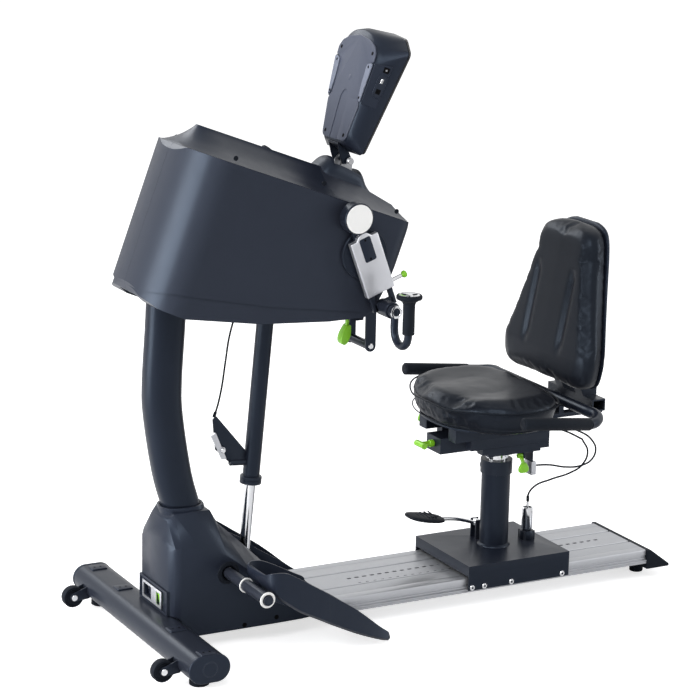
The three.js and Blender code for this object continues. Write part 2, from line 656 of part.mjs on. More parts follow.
function powerInlet() {
  const half = inlet.halfY;
  const body = box(inlet.rear, inlet.face, -half, half, inletLow, inletHigh);
  const hollow = box(inletFront + inlet.wall, inlet.face + overrun, -half + inlet.wall, half - inlet.wall,
    inletLow + inlet.wall, inletHigh - inlet.wall);
  const recess = box(inlet.rear - overrun, inletFront, -half + inlet.wall * 2, half - inlet.wall * 2,
    inletLow + inlet.wall * 2, inletHigh - inlet.wall * 2);
  const socketBody = box(inletFront, inletFront + socket.depth + inlet.wall,
    socket.y - socket.width / 2 - inlet.wall,
    socket.y + socket.width / 2 + inlet.wall, socketZ - socket.height / 2 - inlet.wall,
    socketZ + socket.height / 2 + inlet.wall);
  const socketHole = box(inlet.rear - overrun, inletFront + socket.depth, socket.y - socket.width / 2,
    socket.y + socket.width / 2, socketZ - socket.height / 2, socketZ + socket.height / 2);
  const rockerBody = box(inletFront, inletFront + rocker.depth + inlet.wall,
    rocker.y - rocker.width / 2 - inlet.wall,
    rocker.y + rocker.width / 2 + inlet.wall, socketZ - rocker.height / 2 - inlet.wall,
    socketZ + rocker.height / 2 + inlet.wall);
  const rockerHole = box(inlet.rear - overrun, inletFront + rocker.depth, rocker.y - rocker.width / 2 - gap,
    rocker.y + rocker.width / 2 + gap, socketZ - rocker.height / 2 - rocker.swing,
    socketZ + rocker.height / 2 + rocker.swing);
  return cut(join(cut(body, hollow, recess), socketBody, rockerBody), socketHole, rockerHole);
}

function rockerSwitch() {
  const mid = inletFront + rocker.pin;
  const outline = [
    [mid + rocker.pin * 2, socketZ - rocker.height / 2],
    [mid + rocker.pin * 2, socketZ + rocker.height / 2],
    [mid - rocker.reach, socketZ + rocker.height / 2], [mid - rocker.pin / 2, socketZ],
    [mid + rocker.pin / 2, socketZ - rocker.height / 2],
  ];
  return sidePrism(outline, rocker.y - rocker.width / 2, rocker.y + rocker.width / 2);
}

addPiece('power_inlet', powerInlet(), looks.softBlack);
addPiece('power_switch', rockerSwitch(), looks.green);

// Casing of the head, drawn about the crank axis: A runs to the nose, B upwards, both turned with the head
const sideOutlineShares = [
  [0, 0.083], [0.02, 0.037], [0.066, 0.011], [0.166, 0.005], [0.483, 0.094], [0.769, 0.214], [0.915, 0.292],
  [0.939, 0.331], [0.983, 0.586], [1, 0.694], [0.998, 0.786], [0.978, 0.851], [0.95, 0.926], [0.869, 0.952],
  [0.804, 0.97], [0.713, 1], [0.083, 1], [0.046, 0.924], [0.01, 0.86], [0, 0.832],
];
const lowerBorderShares = [
  [-0.02, 0.053], [0.093, 0.115], [0.506, 0.202], [0.813, 0.294], [0.929, 0.331], [1.03, 0.38],
];
const casingLength = casing.rear + casing.nose;
const casingHeight = casing.low + casing.ridge;
const headGroup = new THREE.Group();
headGroup.position.set(head.x, 0, head.z);
headGroup.rotation.y = head.tilt;
machine.add(headGroup);

function casingPoint([along, up], wall = 0) {
  return [
    -casing.rear + wall + along * (casingLength - 2 * wall),
      -casing.low + wall + up * (casingHeight - 2 * wall),
  ];
}

// Where a place in the casing's own directions lies on the machine, and the other way round
function fromHead(a, b) {
  return [
    head.x + a * Math.cos(head.tilt) + b * Math.sin(head.tilt),
    head.z - a * Math.sin(head.tilt) + b * Math.cos(head.tilt),
  ];
}

function toHead(x, z) {
  const dx = x - head.x;
  const dz = z - head.z;
  return [
    dx * Math.cos(head.tilt) - dz * Math.sin(head.tilt),
      dx * Math.sin(head.tilt) + dz * Math.cos(head.tilt),
  ];
}

function casingPlan(inset, low, high) {
  const half = casing.halfWidth - inset;
  const rearA = -casing.rear + inset;
  const noseA = casing.nose - inset;
  const rear = Array.from({ length: smallFacets + 1 }, (_, i) => {
    const turn = Math.PI / 2 + (Math.PI * i) / smallFacets;
    return [rearA + casing.rearRound + casing.rearRound * Math.cos(turn), half * Math.sin(turn)];
  });
  const corner = (side) => Array.from({ length: 5 }, (_, i) => {
    const turn = (Math.PI / 8) * i;
    const round = casing.noseRound;
    return side === left
      ? [noseA - round + round * Math.sin(turn), -half + round - round * Math.cos(turn)]
      : [noseA - round + round * Math.cos(turn), half - round + round * Math.sin(turn)];
  });
  return planPrism([...rear, ...corner(left), ...corner(right)], low, high);
}

function casingCrown(inset) {
  const half = casing.halfWidth - casing.inset - inset;
  const rise = casing.ridge - casing.border - inset;
  const arc = ovalPoints(half, rise, fineFacets, casing.crownShare, 0, casing.border)
    .filter(([, b]) => b > casing.border - gap);
  return endPrism([[-half, -casing.low - overrun], [half, -casing.low - overrun], ...arc],
    -casing.rear - overrun,
    casing.nose + overrun);
}

function casingBody(inset, wall) {
  const profile = sidePrism(sideOutlineShares.map((p) => casingPoint(p, wall)), -casing.halfWidth,
    casing.halfWidth);
  return profile.intersect(casingPlan(inset, -casing.low - overrun, casing.ridge + overrun));
}

const innerCasing = casingBody(casing.inset + casing.wall, casing.wall).intersect(casingCrown(casing.wall));
const panelShell = cut(casingBody(0, 0), innerCasing);
const recessedShell = cut(casingBody(casing.inset, 0).intersect(casingCrown(0)), innerCasing);
const far = casingLength * 2;

function panelZone(grow) {
  const lower = lowerBorderShares.map((p) => casingPoint(p)).map(([a, b]) => [a, b - grow]);
  const top = casing.border + grow;
  return [...lower, [far, lower[lower.length - 1][1]], [far, top], [lower[0][0], top]];
}

function opening(x, z, radius) {
  const [a, b] = toHead(x, z);
  return acrossRod(a, b, radius, -casing.halfWidth * 2, casing.halfWidth * 2);
}

function bellyOpening() {
  const [pivotA, pivotB] = toHead(pivotAt.x, pivotAt.z);
  const [strutA] = toHead(strutHigh.x, strutHigh.z);
  const half = column.halfY + casing.bellySlack;
  return box(pivotA - casing.bellyRear, strutA + casing.bellyFront, -half, half, -casing.low - overrun,
    pivotB - casing.bellyDrop);
}

function sideCover(side) {
  const halfSpace = box(-far, far, side * gap, side * far, -far, casing.border);
  const panel = panelShell.intersect(sidePrism(panelZone(0), -far, far));
  const belly = cut(recessedShell.intersect(box(-far, far, -far, far, -far, casing.border)),
    sidePrism(panelZone(-bite), -far, far));
  const strip = box(casing.nose - casing.noseRound - casing.stripStep, far, -casing.strip - gap,
    casing.strip + gap, -far, far);
  return cut(join(panel, belly).intersect(halfSpace), strip, opening(head.x, head.z, crank.holeRadius),
    bellyOpening());
}

function topCover() {
  const zone = box(-far, -casing.seam - casing.seamGap, -far, far, casing.border + casing.seamGap, far);
  return recessedShell.intersect(zone);
}

const humpShares = [
  [0, 0], [0.07, 0.5], [0.14, 0.95], [0.2, 1], [0.74, 0.8], [0.79, 0.72], [0.87, 0.38], [0.96, 0.1], [1, 0],
];

function noseCover() {
  const zone = box(-casing.seam, far, -far, far, casing.border + casing.seamGap, far);
  const stripZone = box(casing.nose - casing.noseRound - casing.stripStep + gap, far, -casing.strip,
    casing.strip,
    -casing.stripLow, casing.border + casing.seamGap * 2);
  const humpOutline = humpShares.map(([u, v]) => [
    hump.rear + u * (hump.front - hump.rear), hump.low + v * (hump.high - hump.low),
  ]);
  const outer = sidePrism([...humpOutline].reverse(), -hump.half, hump.half);
  const zoneFront = box(-casing.seam, far, -far, far, -far, far);
  const slot = box(-hump.slotRear, hump.slotFront, -hump.slotHalf, hump.slotHalf, hump.slotLow, far);
  const gussetHalf = grab.gussetY + hump.slack;
  const gussetSlot = box(casing.nose - casing.noseRound, far, -gussetHalf, gussetHalf, -far,
    -hump.gussetTop);
  const shell = join(recessedShell.intersect(stripZone), recessedShell.intersect(zone));
  return cut(join(shell, cut(outer, innerCasing).intersect(zoneFront)), slot, gussetSlot);
}

addPiece('top_cover', topCover(), looks.black, headGroup);
addPiece('nose_cover', noseCover(), looks.black, headGroup);
addPiece('side_cover_left', sideCover(left), looks.black, headGroup);
addPiece('side_cover_right', sideCover(right), looks.black, headGroup);

// Head frame: side plates, crank bearing tube, pivot pin, console mast and the arms of the grab handle
const plateOut = plate.y + plate.thick;
const strutLength = Math.hypot(strutHigh.x - strut.lowX, strutHigh.z - strut.lowZ);
const ring = crank.bearingRadius;

function strutPoint(along, aside = 0) {
  const u = (strutHigh.x - strut.lowX) / strutLength;
  const w = (strutHigh.z - strut.lowZ) / strutLength;
  return [strut.lowX + u * along - w * aside, strut.lowZ + w * along + u * aside];
}

function strutRodBetween(from, to, radius) {
  const [x0, z0] = strutPoint(from);
  const [x1, z1] = strutPoint(to);
  return rod([x0, 0, z0], [x1, 0, z1], radius);
}

function headFrame() {
  const eye = strut.eyeRadius;
  const outline = [
    [pivotAt.x - pivot.boss, pivotAt.z - pivot.boss], [pivotAt.x + pivot.boss, pivotAt.z - pivot.boss * 2],
    [strutHigh.x - eye * 2, strutHigh.z - eye * 1.4], [strutHigh.x + eye * 2, strutHigh.z - eye * 1.4],
    [head.x - ring, head.z - ring * 2], [head.x + ring * 1.5, head.z - ring * 1.5],
    [head.x + ring * 1.5, head.z + ring],
    [head.x, head.z + ring * 2.4], [flyAt.x, flyAt.z + ring], [pivotAt.x, pivotAt.z + pivot.boss * 1.6],
    [pivotAt.x - pivot.boss, pivotAt.z + pivot.boss],
  ];
  const mast = [
    [head.x - hinge.boss, head.z], [head.x + hinge.boss * 2, head.z], [hingeAt.x + hinge.boss, hingeAt.z],
    [hingeAt.x, hingeAt.z + hinge.boss], [hingeAt.x - hinge.boss, hingeAt.z],
  ];
  const gusset = [
    [head.x + ring / 2, head.z], [head.x - ring, head.z],
    [grabAt.x - grab.strapWidth * 2.3, grabAt.top + grab.strapWidth * 1.4],
    [grabAt.x - grab.strapWidth / 2, grabAt.top + grab.strapThick + gap],
    [grabAt.x + grab.strapWidth / 2, grabAt.top + grab.strapThick + gap], [grabAt.x - bite,
    grabAt.top + grab.strapWidth],
  ];
  const pieces = [];
  for (const side of sides) {
    pieces.push(sidePrism(outline, side * plate.y, side * plateOut));
    pieces.push(acrossRod(flyAt.x, flyAt.z, fly.boss, side * (plateOut - bite), side * (fly.rimIn - gap),
      smallFacets));
    pieces.push(sidePrism(mast, side * hinge.mastY, side * (hinge.mastY + hinge.mastThick)));
    pieces.push(sidePrism(gusset, side * (grab.gussetY - grab.gussetThick), side * grab.gussetY));
  }
  const bearing = acrossRod(head.x, head.z, ring, -crank.bearingHalf, crank.bearingHalf);
  const crossBar = acrossRod(strutHigh.x + eye * 4, strutHigh.z + eye, eye / 2, -plateOut + bite,
    plateOut - bite,
    pinFacets);
  const pin = acrossRod(pivotAt.x, pivotAt.z, pivot.pin, -plateOut, plateOut);
  const bore = acrossRod(head.x, head.z, crank.shaftRadius + gap, -far, far);
  const flyBore = acrossRod(flyAt.x, flyAt.z, fly.shaftRadius + gap, -far, far);
  const anchor = acrossRod(anchorAt.x, anchorAt.z, cord.anchorRadius, -plateOut + bite, plateOut - bite,
    pinFacets);
  const pinHole = acrossRod(strutHigh.x, strutHigh.z, strut.pinRadius + strut.pinSlack, -far, far,
    smallFacets);
  const hingeBore = acrossRod(hingeAt.x, hingeAt.z, hinge.pin + gap, -far, far, smallFacets);
  return cut(join(...pieces, bearing, crossBar, anchor, pin), bore, flyBore, pinHole, hingeBore);
}

addPiece('head_frame', headFrame(), looks.steel);

// Gas strut: rod on the base ears, cover tube up to the head, release lever on the tube
const strutTubeTop = strutLength - strut.eyeRadius / 2;

function strutRod() {
  const body = strutRodBetween(strut.eyeRadius / 2, strut.tubeLow + strut.rodInside, strut.rodRadius);
  const eye = acrossRod(strut.lowX, strut.lowZ, strut.eyeRadius, -strut.eyeWidth / 2, strut.eyeWidth / 2);
  const bore = acrossRod(strut.lowX, strut.lowZ, strut.pinRadius + gap, -strut.eyeWidth, strut.eyeWidth,
    smallFacets);
  return cut(join(body, eye), bore);
}

function strutTube() {
  const body = strutRodBetween(strut.tubeLow, strutTubeTop, strut.tubeRadius);
  const collar = strutRodBetween(strut.tubeLow, strut.tubeLow + strut.collarLength, strut.collarRadius);
  const eye = acrossRod(strutHigh.x, strutHigh.z, strut.eyeRadius, -strut.eyeWidth / 2, strut.eyeWidth / 2);
  const pin = acrossRod(strutHigh.x, strutHigh.z, strut.pinRadius, -plateOut, plateOut, smallFacets);
  const bore = strutRodBetween(strut.tubeLow - overrun, strutTubeTop - strut.eyeRadius * 2,
    strut.rodRadius + gap);
  const root = strut.tubeRadius - bite;
  const bracket = sidePrism([
    strutPoint(release.along - release.rootHalf, root), strutPoint(release.along + release.rootHalf, root),
    strutPoint(release.tipAlong + release.tipHalf, release.tipOut - release.tipHalf),
    strutPoint(release.tipAlong, release.tipOut), strutPoint(release.pinAlong,
      release.pinOut + release.boss * 2),
    strutPoint(release.along - release.rootHalf, release.stubOut),
  ], -release.plateHalf, release.plateHalf);
  const [stubX, stubZ] = strutPoint(release.along - release.rootHalf, release.stubOut);
  const [rootX, rootZ] = strutPoint(release.along - release.rootHalf, root);
  const stub = rod([stubX, 0, stubZ], [rootX, 0, rootZ], release.stubRadius, smallFacets);
  const [pinX, pinZ] = strutPoint(release.pinAlong, release.pinOut);
  const leverPin = acrossRod(pinX, pinZ, release.pin, 0, -release.plateHalf - gap - release.leverThick,
    pinFacets);
  return join(cut(join(body, collar, eye, bracket, stub), bore), pin, leverPin);
}

function releaseLever() {
  const inside = -release.plateHalf - gap;
  const half = release.leverHalf;
  const low = strutPoint(release.pinAlong - release.leverDown, release.pinOut - release.leverHalf);
  const high = strutPoint(release.pinAlong + release.leverUp, release.pinOut + release.leverUp * 0.75);
  const outline = [
    [low[0] - half, low[1]], [low[0] + half, low[1]], [high[0] + half, high[1] + half], [high[0] - half,
    high[1]],
  ];
  const [pinX, pinZ] = strutPoint(release.pinAlong, release.pinOut);
  const boss = acrossRod(pinX, pinZ, release.boss, inside, inside - release.leverThick, smallFacets);
  const bore = acrossRod(pinX, pinZ, release.pin + gap, -far, far, pinFacets);
  return cut(join(sidePrism(outline, inside, inside - release.leverThick), boss), bore);
}

addPiece('strut_rod', strutRod(), looks.chrome);
addPiece('strut_tube', strutTube(), looks.black);
addPiece('strut_release_lever', releaseLever(), looks.silver);

// Grab handle under the nose and its height lever
function grabHandle() {
  const half = grab.strapWidth / 2;
  const top = grabAt.top + grab.strapThick;
  const pieces = [box(grabAt.x - half, grabAt.x + half, -grab.halfY, grab.halfY, grabAt.top, top)];
  for (const side of sides) {
    const inside = side * (grab.halfY - grab.strapThick);
    pieces.push(box(grabAt.x - half, grabAt.x + half, inside, side * grab.halfY, grabAt.bar, top));
    pieces.push(acrossRod(grabAt.x, grabAt.bar, half, inside, side * grab.halfY));
  }
  pieces.push(acrossRod(grabAt.x, grabAt.bar, grab.barRadius, -grab.halfY, grab.halfY));
  const lugIn = lever.y - lever.halfWidth - gap - lever.lug;
  pieces.push(box(leverAt.x - lever.boss, grabAt.x, lugIn, lugIn + lever.lug, leverAt.z - lever.boss, top));
  pieces.push(acrossRod(leverAt.x, leverAt.z, lever.pin, lugIn + bite, lever.y + lever.halfWidth,
    pinFacets));
  return join(...pieces);
}

function heightLever() {
  const { x, z } = leverAt;
  const { boss, length } = lever;
  const outline = [
    [x - boss, z + boss], [x - boss * 1.4, z - boss], [x - boss * 3, z - length],
    [x - boss * 3 + lever.thick, z - length * 1.05],
    [x + boss * 0.4, z - length / 2], [x + boss, z - boss], [x + boss, z + boss],
  ];
  const body = sidePrism(outline, lever.y - lever.halfWidth, lever.y + lever.halfWidth);
  return cut(body, acrossRod(x, z, lever.pin + gap, -far, far, pinFacets));
}

addPiece('grab_handle', grabHandle(), looks.black);
addPiece('height_lever', heightLever(), looks.green);

// Drive: crank shaft with its keyed pulley, flywheel with a small pulley, and the belt between them
function crankShaft() {
  const axle = acrossRod(0, 0, crank.shaftRadius, -shaftHalf, shaftHalf);
  const hub = acrossRod(0, 0, ring, -crank.bearingHalf - gap, -crank.pulleyOut);
  const disc = acrossRod(0, 0, crank.pulleyRadius, -crank.pulleyIn, -crank.pulleyOut, fineFacets);
  const collar = acrossRod(0, 0, crank.collarRadius, crank.bearingHalf + gap,
    crank.bearingHalf + crank.collarWidth);
  return join(axle, hub, disc, collar);
}

function flywheel() {
  const rim = acrossRod(0, 0, fly.radius, -fly.rimIn, -fly.rimOut, fineFacets);
  const axle = acrossRod(0, 0, fly.shaftRadius, plateOut, -crank.pulleyOut);
  const small = acrossRod(0, 0, fly.pulleyRadius, -crank.pulleyIn, -crank.pulleyOut);
  return join(rim, axle, small);
}

function driveBelt() {
  const dx = flyAt.x - head.x;
  const dz = flyAt.z - head.z;
  const heading = Math.atan2(dz, dx);
  const lean = Math.asin((crank.pulleyRadius - fly.pulleyRadius) / Math.hypot(dx, dz));
  const arc = (x, z, radius, start, sweepAngle, facets) => Array.from({ length: facets + 1 }, (_, i) => {
    const turn = start + (sweepAngle * i) / facets;
    return [x + radius * Math.cos(turn), z + radius * Math.sin(turn)];
  });
  const loopPoints = (grow) => [
    ...arc(head.x, head.z, crank.pulleyRadius + grow, heading + Math.PI / 2 - lean, Math.PI + 2 * lean,
      fineFacets),
    ...arc(flyAt.x, flyAt.z, fly.pulleyRadius + grow, heading - Math.PI / 2 + lean, Math.PI - 2 * lean,
      smallFacets),
  ];
  const y0 = -crank.pulleyIn - belt.inset;
  const y1 = -crank.pulleyOut + belt.inset;
  return cut(sidePrism(loopPoints(belt.thick), y0, y1), sidePrism(loopPoints(belt.seat), y0 + overrun,
    y1 - overrun));
}

function placedGroup(x, z, turn = 0) {
  const group = new THREE.Group();
  group.position.set(x, 0, z);
  group.rotation.y = turn;
  machine.add(group);
  return group;
}

addPiece('crank_shaft', crankShaft(), looks.steel, placedGroup(head.x, head.z));
addPiece('flywheel', flywheel(), looks.steel, placedGroup(flyAt.x, flyAt.z));
addPiece('drive_belt', driveBelt(), looks.softBlack);

// One crank arm: X runs along the arm to the handle, and reach is measured outwards
const legMid = (legIn + legOut) / 2;
const spindleIn = hubIn + handle.spindleStep;

function pinBore(side) {
  return rod([pullPin.at, side * legMid, 0], [pullPin.at, side * legMid, cover.half * 2],
    pullPin.radius + gap,
    pinFacets);
}

function armBody(side) {
  const disc = acrossRod(0, 0, arm.discRadius, side * discIn, side * discOut, fineFacets);
  const body = box(-cover.back, cover.front, side * (discOut - bite), side * bodyOut, -arm.bodyHalf,
    arm.bodyHalf);
  const neckEnd = -cover.back - cover.arch - gap;
  const neck = box(-arm.weightAt, neckEnd, side * weightIn, side * neckOut, -arm.neckHalf, arm.neckHalf);
  const root = box(neckEnd - bite, -cover.back + bite, side * (discOut - bite), side * bodyOut,
    -arm.neckHalf,
    arm.neckHalf);
  const weight = acrossRod(-arm.weightAt, 0, arm.weightRadius, side * weightIn, side * weightOut,
    fineFacets);
  const boss = acrossRod(0, 0, arm.bossRadius, side * (bodyOut - bite), side * (coverOut - cover.wall * 2));
  const socketHole = acrossRod(0, 0, crank.shaftRadius + gap, side * (discIn - overrun),
    side * (shaftHalf + gap));
  return cut(join(disc, body, neck, root, weight, boss), socketHole);
}

function armCover(side) {
  const archHalf = cover.half * cover.archShare;
  const arch = [-1, -0.67, -0.33, 0, 0.33, 0.67, 1].map((share) => [
    -cover.back - cover.arch * (1 - share ** 2), archHalf * -share,
  ]);
  const outline = [
    [cover.front, -cover.half], [cover.front, cover.half], [-cover.back, cover.half], ...arch,
    [-cover.back, -cover.half],
  ];
  const base = bodyOut + gap;
  const body = sidePrism(outline, side * base, side * coverOut);
  const hollow = box(-cover.back + cover.wall, cover.front + overrun, side * (base - overrun),
    side * (coverOut - cover.wall), -cover.half + cover.wall, cover.half - cover.wall);
  return cut(body, hollow, pinBore(side));
}

function forkBody(side) {
  const { legY, legWidth, at, hubRadius } = crankFork;
  const legs = sides.map((half) => box(crankFork.legBack, at, side * legIn, side * legOut,
    half * (legY - legWidth / 2), half * (legY + legWidth / 2)));
  const bridge = box(at - hubRadius, at, side * legIn, side * legOut, -legY, legY);
  const hub = acrossRod(at, 0, hubRadius, side * hubIn, side * hubOut);
  const bore = acrossRod(at, 0, handle.spindle + crankFork.slack, side * (spindleIn - gap), side * far);
  const slotHalf = crankFork.travel + pullPin.radius + gap;
  const slotLow = cover.half - pullPin.depth - gap;
  const slot = box(pullPin.at - slotHalf, pullPin.at + slotHalf, side * (legMid - pullPin.radius - gap),
    side * (legMid + pullPin.radius + gap), slotLow, cover.half);
  return cut(join(...legs, bridge, hub), bore, slot);
}

function pullPinBody(side) {
  const y = side * legMid;
  const stem = rod([pullPin.at, y, cover.half - pullPin.depth], [pullPin.at, y, pullPin.rodOut + bite],
    pullPin.radius, pinFacets);
  const grip = rod([pullPin.at, y, pullPin.rodOut], [pullPin.at, y, pullPin.rodOut + pullPin.knobLength],
    pullPin.knobRadius, smallFacets);
  return join(stem, grip);
}

// Handle, drawn about its spindle with the grip upright
function handleTube(side) {
  const spindle = acrossRod(0, 0, handle.spindle, side * spindleIn, side * ringOut);
  const cap = acrossRod(0, 0, handle.ringRadius, side * ringIn, side * ringOut);
  const downY = ringIn + handle.tubeRadius;
  const bend = (gripY - downY) / 2;
  const bendZ = -handle.bottom + bend;
  const turns = [0, 0.25, 0.5, 0.75, 1].map((share) => [
    0, side * (downY + bend - bend * Math.cos(Math.PI * share)), bendZ - bend * Math.sin(Math.PI * share),
  ]);
  const straightZ = bendZ * handle.bendShare;
  const path = [
    [0, side * downY, 0], [0, side * downY, straightZ], ...turns, [0, side * gripY, straightZ],
    [0, side * gripY, 0], [0, side * gripY, handle.gripHigh],
  ];
  return join(spindle, cap, sweep(path, circlePoints(handle.tubeRadius, bendSides), bendSteps));
}

function handleGrip(side) {
  const bore = handle.tubeRadius + handle.slack;
  const floor = handle.top - handle.dishDepth;
  const profile = [
    [bore, -handle.gripLow], [handle.gripRadius, -handle.gripLow], [handle.gripRadius, handle.gripHigh],
    [handle.flareRadius, handle.flareAt], [handle.flareRadius, handle.top], [handle.dishRadius, handle.top],
    [handle.dishRadius / 3, floor], [0, floor], [0, handle.gripHigh + gap], [bore, handle.gripHigh + gap],
    [bore, -handle.gripLow],
  ];
  return turnedUp(profile, 0, side * gripY);
}

for (const side of sides) {
  const word = side === left ? 'left' : 'right';
  const angle = crank.angle + (side === left ? 0 : Math.PI);
  const armGroup = placedGroup(head.x, head.z, angle);
  addPiece(`crank_arm_${word}`, armBody(side), looks.black, armGroup);
  addPiece(`arm_cover_${word}`, armCover(side), looks.silver, armGroup);
  addPiece(`crank_fork_${word}`, forkBody(side), looks.black, armGroup);
  addPiece(`pull_pin_${word}`, pullPinBody(side), looks.green, armGroup);
  const handleGroup = placedGroup(head.x + crankFork.at * Math.cos(angle),
    head.z - crankFork.at * Math.sin(angle), side === left ? 0 : handle.rightLean);
  addPiece(`handle_tube_${word}`, handleTube(side), looks.black, handleGroup);
  addPiece(`handle_grip_${word}`, handleGrip(side), looks.softBlack, handleGroup);
}

// Console: shares of the half width and of the height round its outline
const consoleShares = [
  [-1, 0, 0], [-1, 0.82, 0], [-0.92, 0.95, 0.5], [-0.6, 1, 1], [0, 1, 1.4], [0.6, 1, 1], [0.92, 0.95, 0.5],
  [1, 0.82, 0], [1, 0, 0],
];

function consoleRing(lowX, lowZ, highX, highZ, lowHalf, highHalf, shrink = 0) {
  const lift = consoleBody.crownRise;
  return consoleShares.map(([halfShare, upShare, crownShare]) => {
    const half = (upShare === 0 ? lowHalf : highHalf) - shrink;
    const up = upShare === 0 ? shrink / (highZ - lowZ) : upShare - shrink / (highZ - lowZ);
    const x = hingeAt.x + lowX + (highX - lowX) * up;
    return [x, halfShare * half, hingeAt.z + lowZ + (highZ - lowZ) * up + lift * crownShare];
  });
}

function frontRing(out, shrink) {
  const c = consoleBody;
  return consoleRing(c.frontLowX + out, c.frontLowZ, c.frontHighX + out, c.frontHighZ, c.lowHalf,
    c.highHalf, shrink);
}

function backRing(out, shrink) {
  const c = consoleBody;
  return consoleRing(c.backLowX + out, c.backLowZ, c.backHighX + out, c.backHighZ, c.backLowHalf,
    c.backHighHalf, shrink);
}

function consoleShell() {
  const c = consoleBody;
  const shoulder = consoleRing(c.shoulderLowX, c.shoulderLowZ, c.shoulderHighX, c.shoulderHighZ, c.lowHalf,
    c.highHalf, c.wall);
  const shell = loft([backRing(0, 0), shoulder, frontRing(-c.screenThick, 0)]);
  const pocket = loft([backRing(c.wall * 3, c.wall * 3), frontRing(overrun, c.screenRim)]);
  return cut(shell, pocket);
}

function consoleBracket() {
  const c = consoleBody;
  const inside = hinge.mastY + hinge.mastThick + gap;
  const rise = (c.backLowZ - c.frontLowZ) / (c.frontLowX - c.screenThick - c.backLowX);
  const under = (x, drop) => [hingeAt.x + x, hingeAt.z + c.backLowZ - rise * (x - c.backLowX) - drop];
  const drop = hinge.seatDrop;
  const front = c.frontLowX - c.screenThick - gap;
  const saddle = [under(c.backLowX, drop), under(front, drop), under(front, drop + hinge.bracketThick),
    under(c.backLowX, drop + hinge.bracketThick)];
  const cheek = [
    [hingeAt.x - hinge.boss, hingeAt.z - hinge.boss / 2], [hingeAt.x + hinge.boss,
    hingeAt.z - hinge.boss / 2],
    under(front, drop + bite), under(c.backLowX, drop + bite), [hingeAt.x - hinge.boss * 1.5,
      hingeAt.z + hinge.boss],
  ];
  const outer = inside + hinge.bracketThick;
  const cheeks = sides.map((side) => sidePrism(cheek, side * inside, side * outer));
  const bolt = acrossRod(hingeAt.x, hingeAt.z, hinge.pin, -outer - hinge.boltHead, outer + hinge.boltHead,
    smallFacets);
  return join(sidePrism(saddle, -outer, outer), ...cheeks, bolt);
}

addPiece('console_shell', consoleShell(), looks.grey);
addPiece('console_screen', loft([frontRing(gap - consoleBody.screenThick, 0), frontRing(0, bite)]),
  looks.screen);
addPiece('console_bracket', consoleBracket(), looks.steel);

// Footrests: mirrored sloping plates with a raised outer wall, turning on the cross shaft
const footrestShares = [0, 0.2, 0.4, 0.6, 0.8, 1];

function footrestSection(share, side) {
  const f = footrest;
  const x = f.rear + (f.toe - f.rear) * share;
  const low = f.heelZ + (f.toeZ - f.heelZ) * share;
  const out = side * (f.outer - f.toeInset * share ** 2);
  const rise = f.heelWall + (f.toeWall - f.heelWall) * share;
  return { x, low, out, rise };
}

function footrestBody(side) {
  const f = footrest;
  const inner = side * (f.outer - f.width);
  const tubeIn = f.outer - f.tubeInset;
  const plateBody = loft(footrestShares.map((share) => {
    const { x, low, out } = footrestSection(share, side);
    return [[x, inner, low], [x, out, low], [x, out, low + f.thick], [x, inner, low + f.thick]];
  }));
  const wallBody = loft(footrestShares.map((share) => {
    const { x, low, out, rise } = footrestSection(share, side);
    const inside = out - side * f.thick;
    const lean = side * f.thick * 1.5;
    return [[x, inside, low], [x, out, low], [x, out - lean, low + rise], [x, inside - lean, low + rise]];
  }));
  const lip = box(f.toe - f.thick, f.toe, side * (f.outer - f.lipInset), side * (f.outer - f.toeInset),
    f.toeZ,
    f.toeZ + f.toeWall);
  const tube = acrossRod(shaft.x, shaft.z, f.tubeRadius, side * tubeIn,
    side * (shaftReach - shaft.plateThick));
  const { x: rootX, low: rootZ } = footrestSection(footrestShares[1], side);
  const cheek = [
    [shaft.x - f.tubeRadius, shaft.z], [shaft.x + f.tubeRadius / 2, shaft.z + f.tubeRadius], [rootX,
    rootZ + f.thick],
    [rootX, rootZ], [f.rear, f.heelZ],
  ];
  const cheeks = [tubeIn, f.outer - f.thick * 3].map((y) => sidePrism(cheek, side * y,
    side * (y + f.thick)));
  const bore = acrossRod(shaft.x, shaft.z, shaft.radius + gap, -far, far, fineFacets);
  return cut(join(plateBody, wallBody, lip, tube, ...cheeks), bore);
}

for (const side of sides) {
  addPiece(`footrest_${side === left ? 'left' : 'right'}`, footrestBody(side), looks.softBlack);
}

// Rail: a hollow section with a lower ledge, two grooves and a row of index holes
function seatRail() {
  const ledgeHalf = rail.half;
  const upperHalf = rail.half - rail.ledgeIn;
  const halfSection = [
    [ledgeHalf, rail.low], [ledgeHalf, rail.low + rail.ledge],
    [upperHalf, rail.low + rail.ledge + rail.ledgeIn / 2], [upperHalf, rail.top],
  ];
  const section = [...halfSection, ...halfSection.map(([y, z]) => [-y, z]).reverse()];
  const hollow = box(rail.rear - overrun, rail.front + overrun, -upperHalf + rail.wall,
    upperHalf - rail.wall,
    rail.low + rail.wall, rail.top - rail.wall);
  const tools = [hollow];
  for (const side of sides) {
    const y = side * rail.groove;
    tools.push(box(rail.rear - overrun, rail.front + overrun, y - rail.grooveWidth / 2,
      y + rail.grooveWidth / 2,
      rail.top - rail.grooveDepth, rail.top + overrun));
  }
  for (let i = -rail.holesRear; i <= rail.holesFront; i += 1) {
    const x = lockX + i * rail.pitch;
    tools.push(rod([x, 0, rail.top - rail.wall - overrun], [x, 0, rail.top + overrun], rail.holeRadius,
      holeFacets));
  }
  return cut(endPrism(section, rail.rear, rail.front), ...tools);
}

const capFront = rail.front + railCap.length;

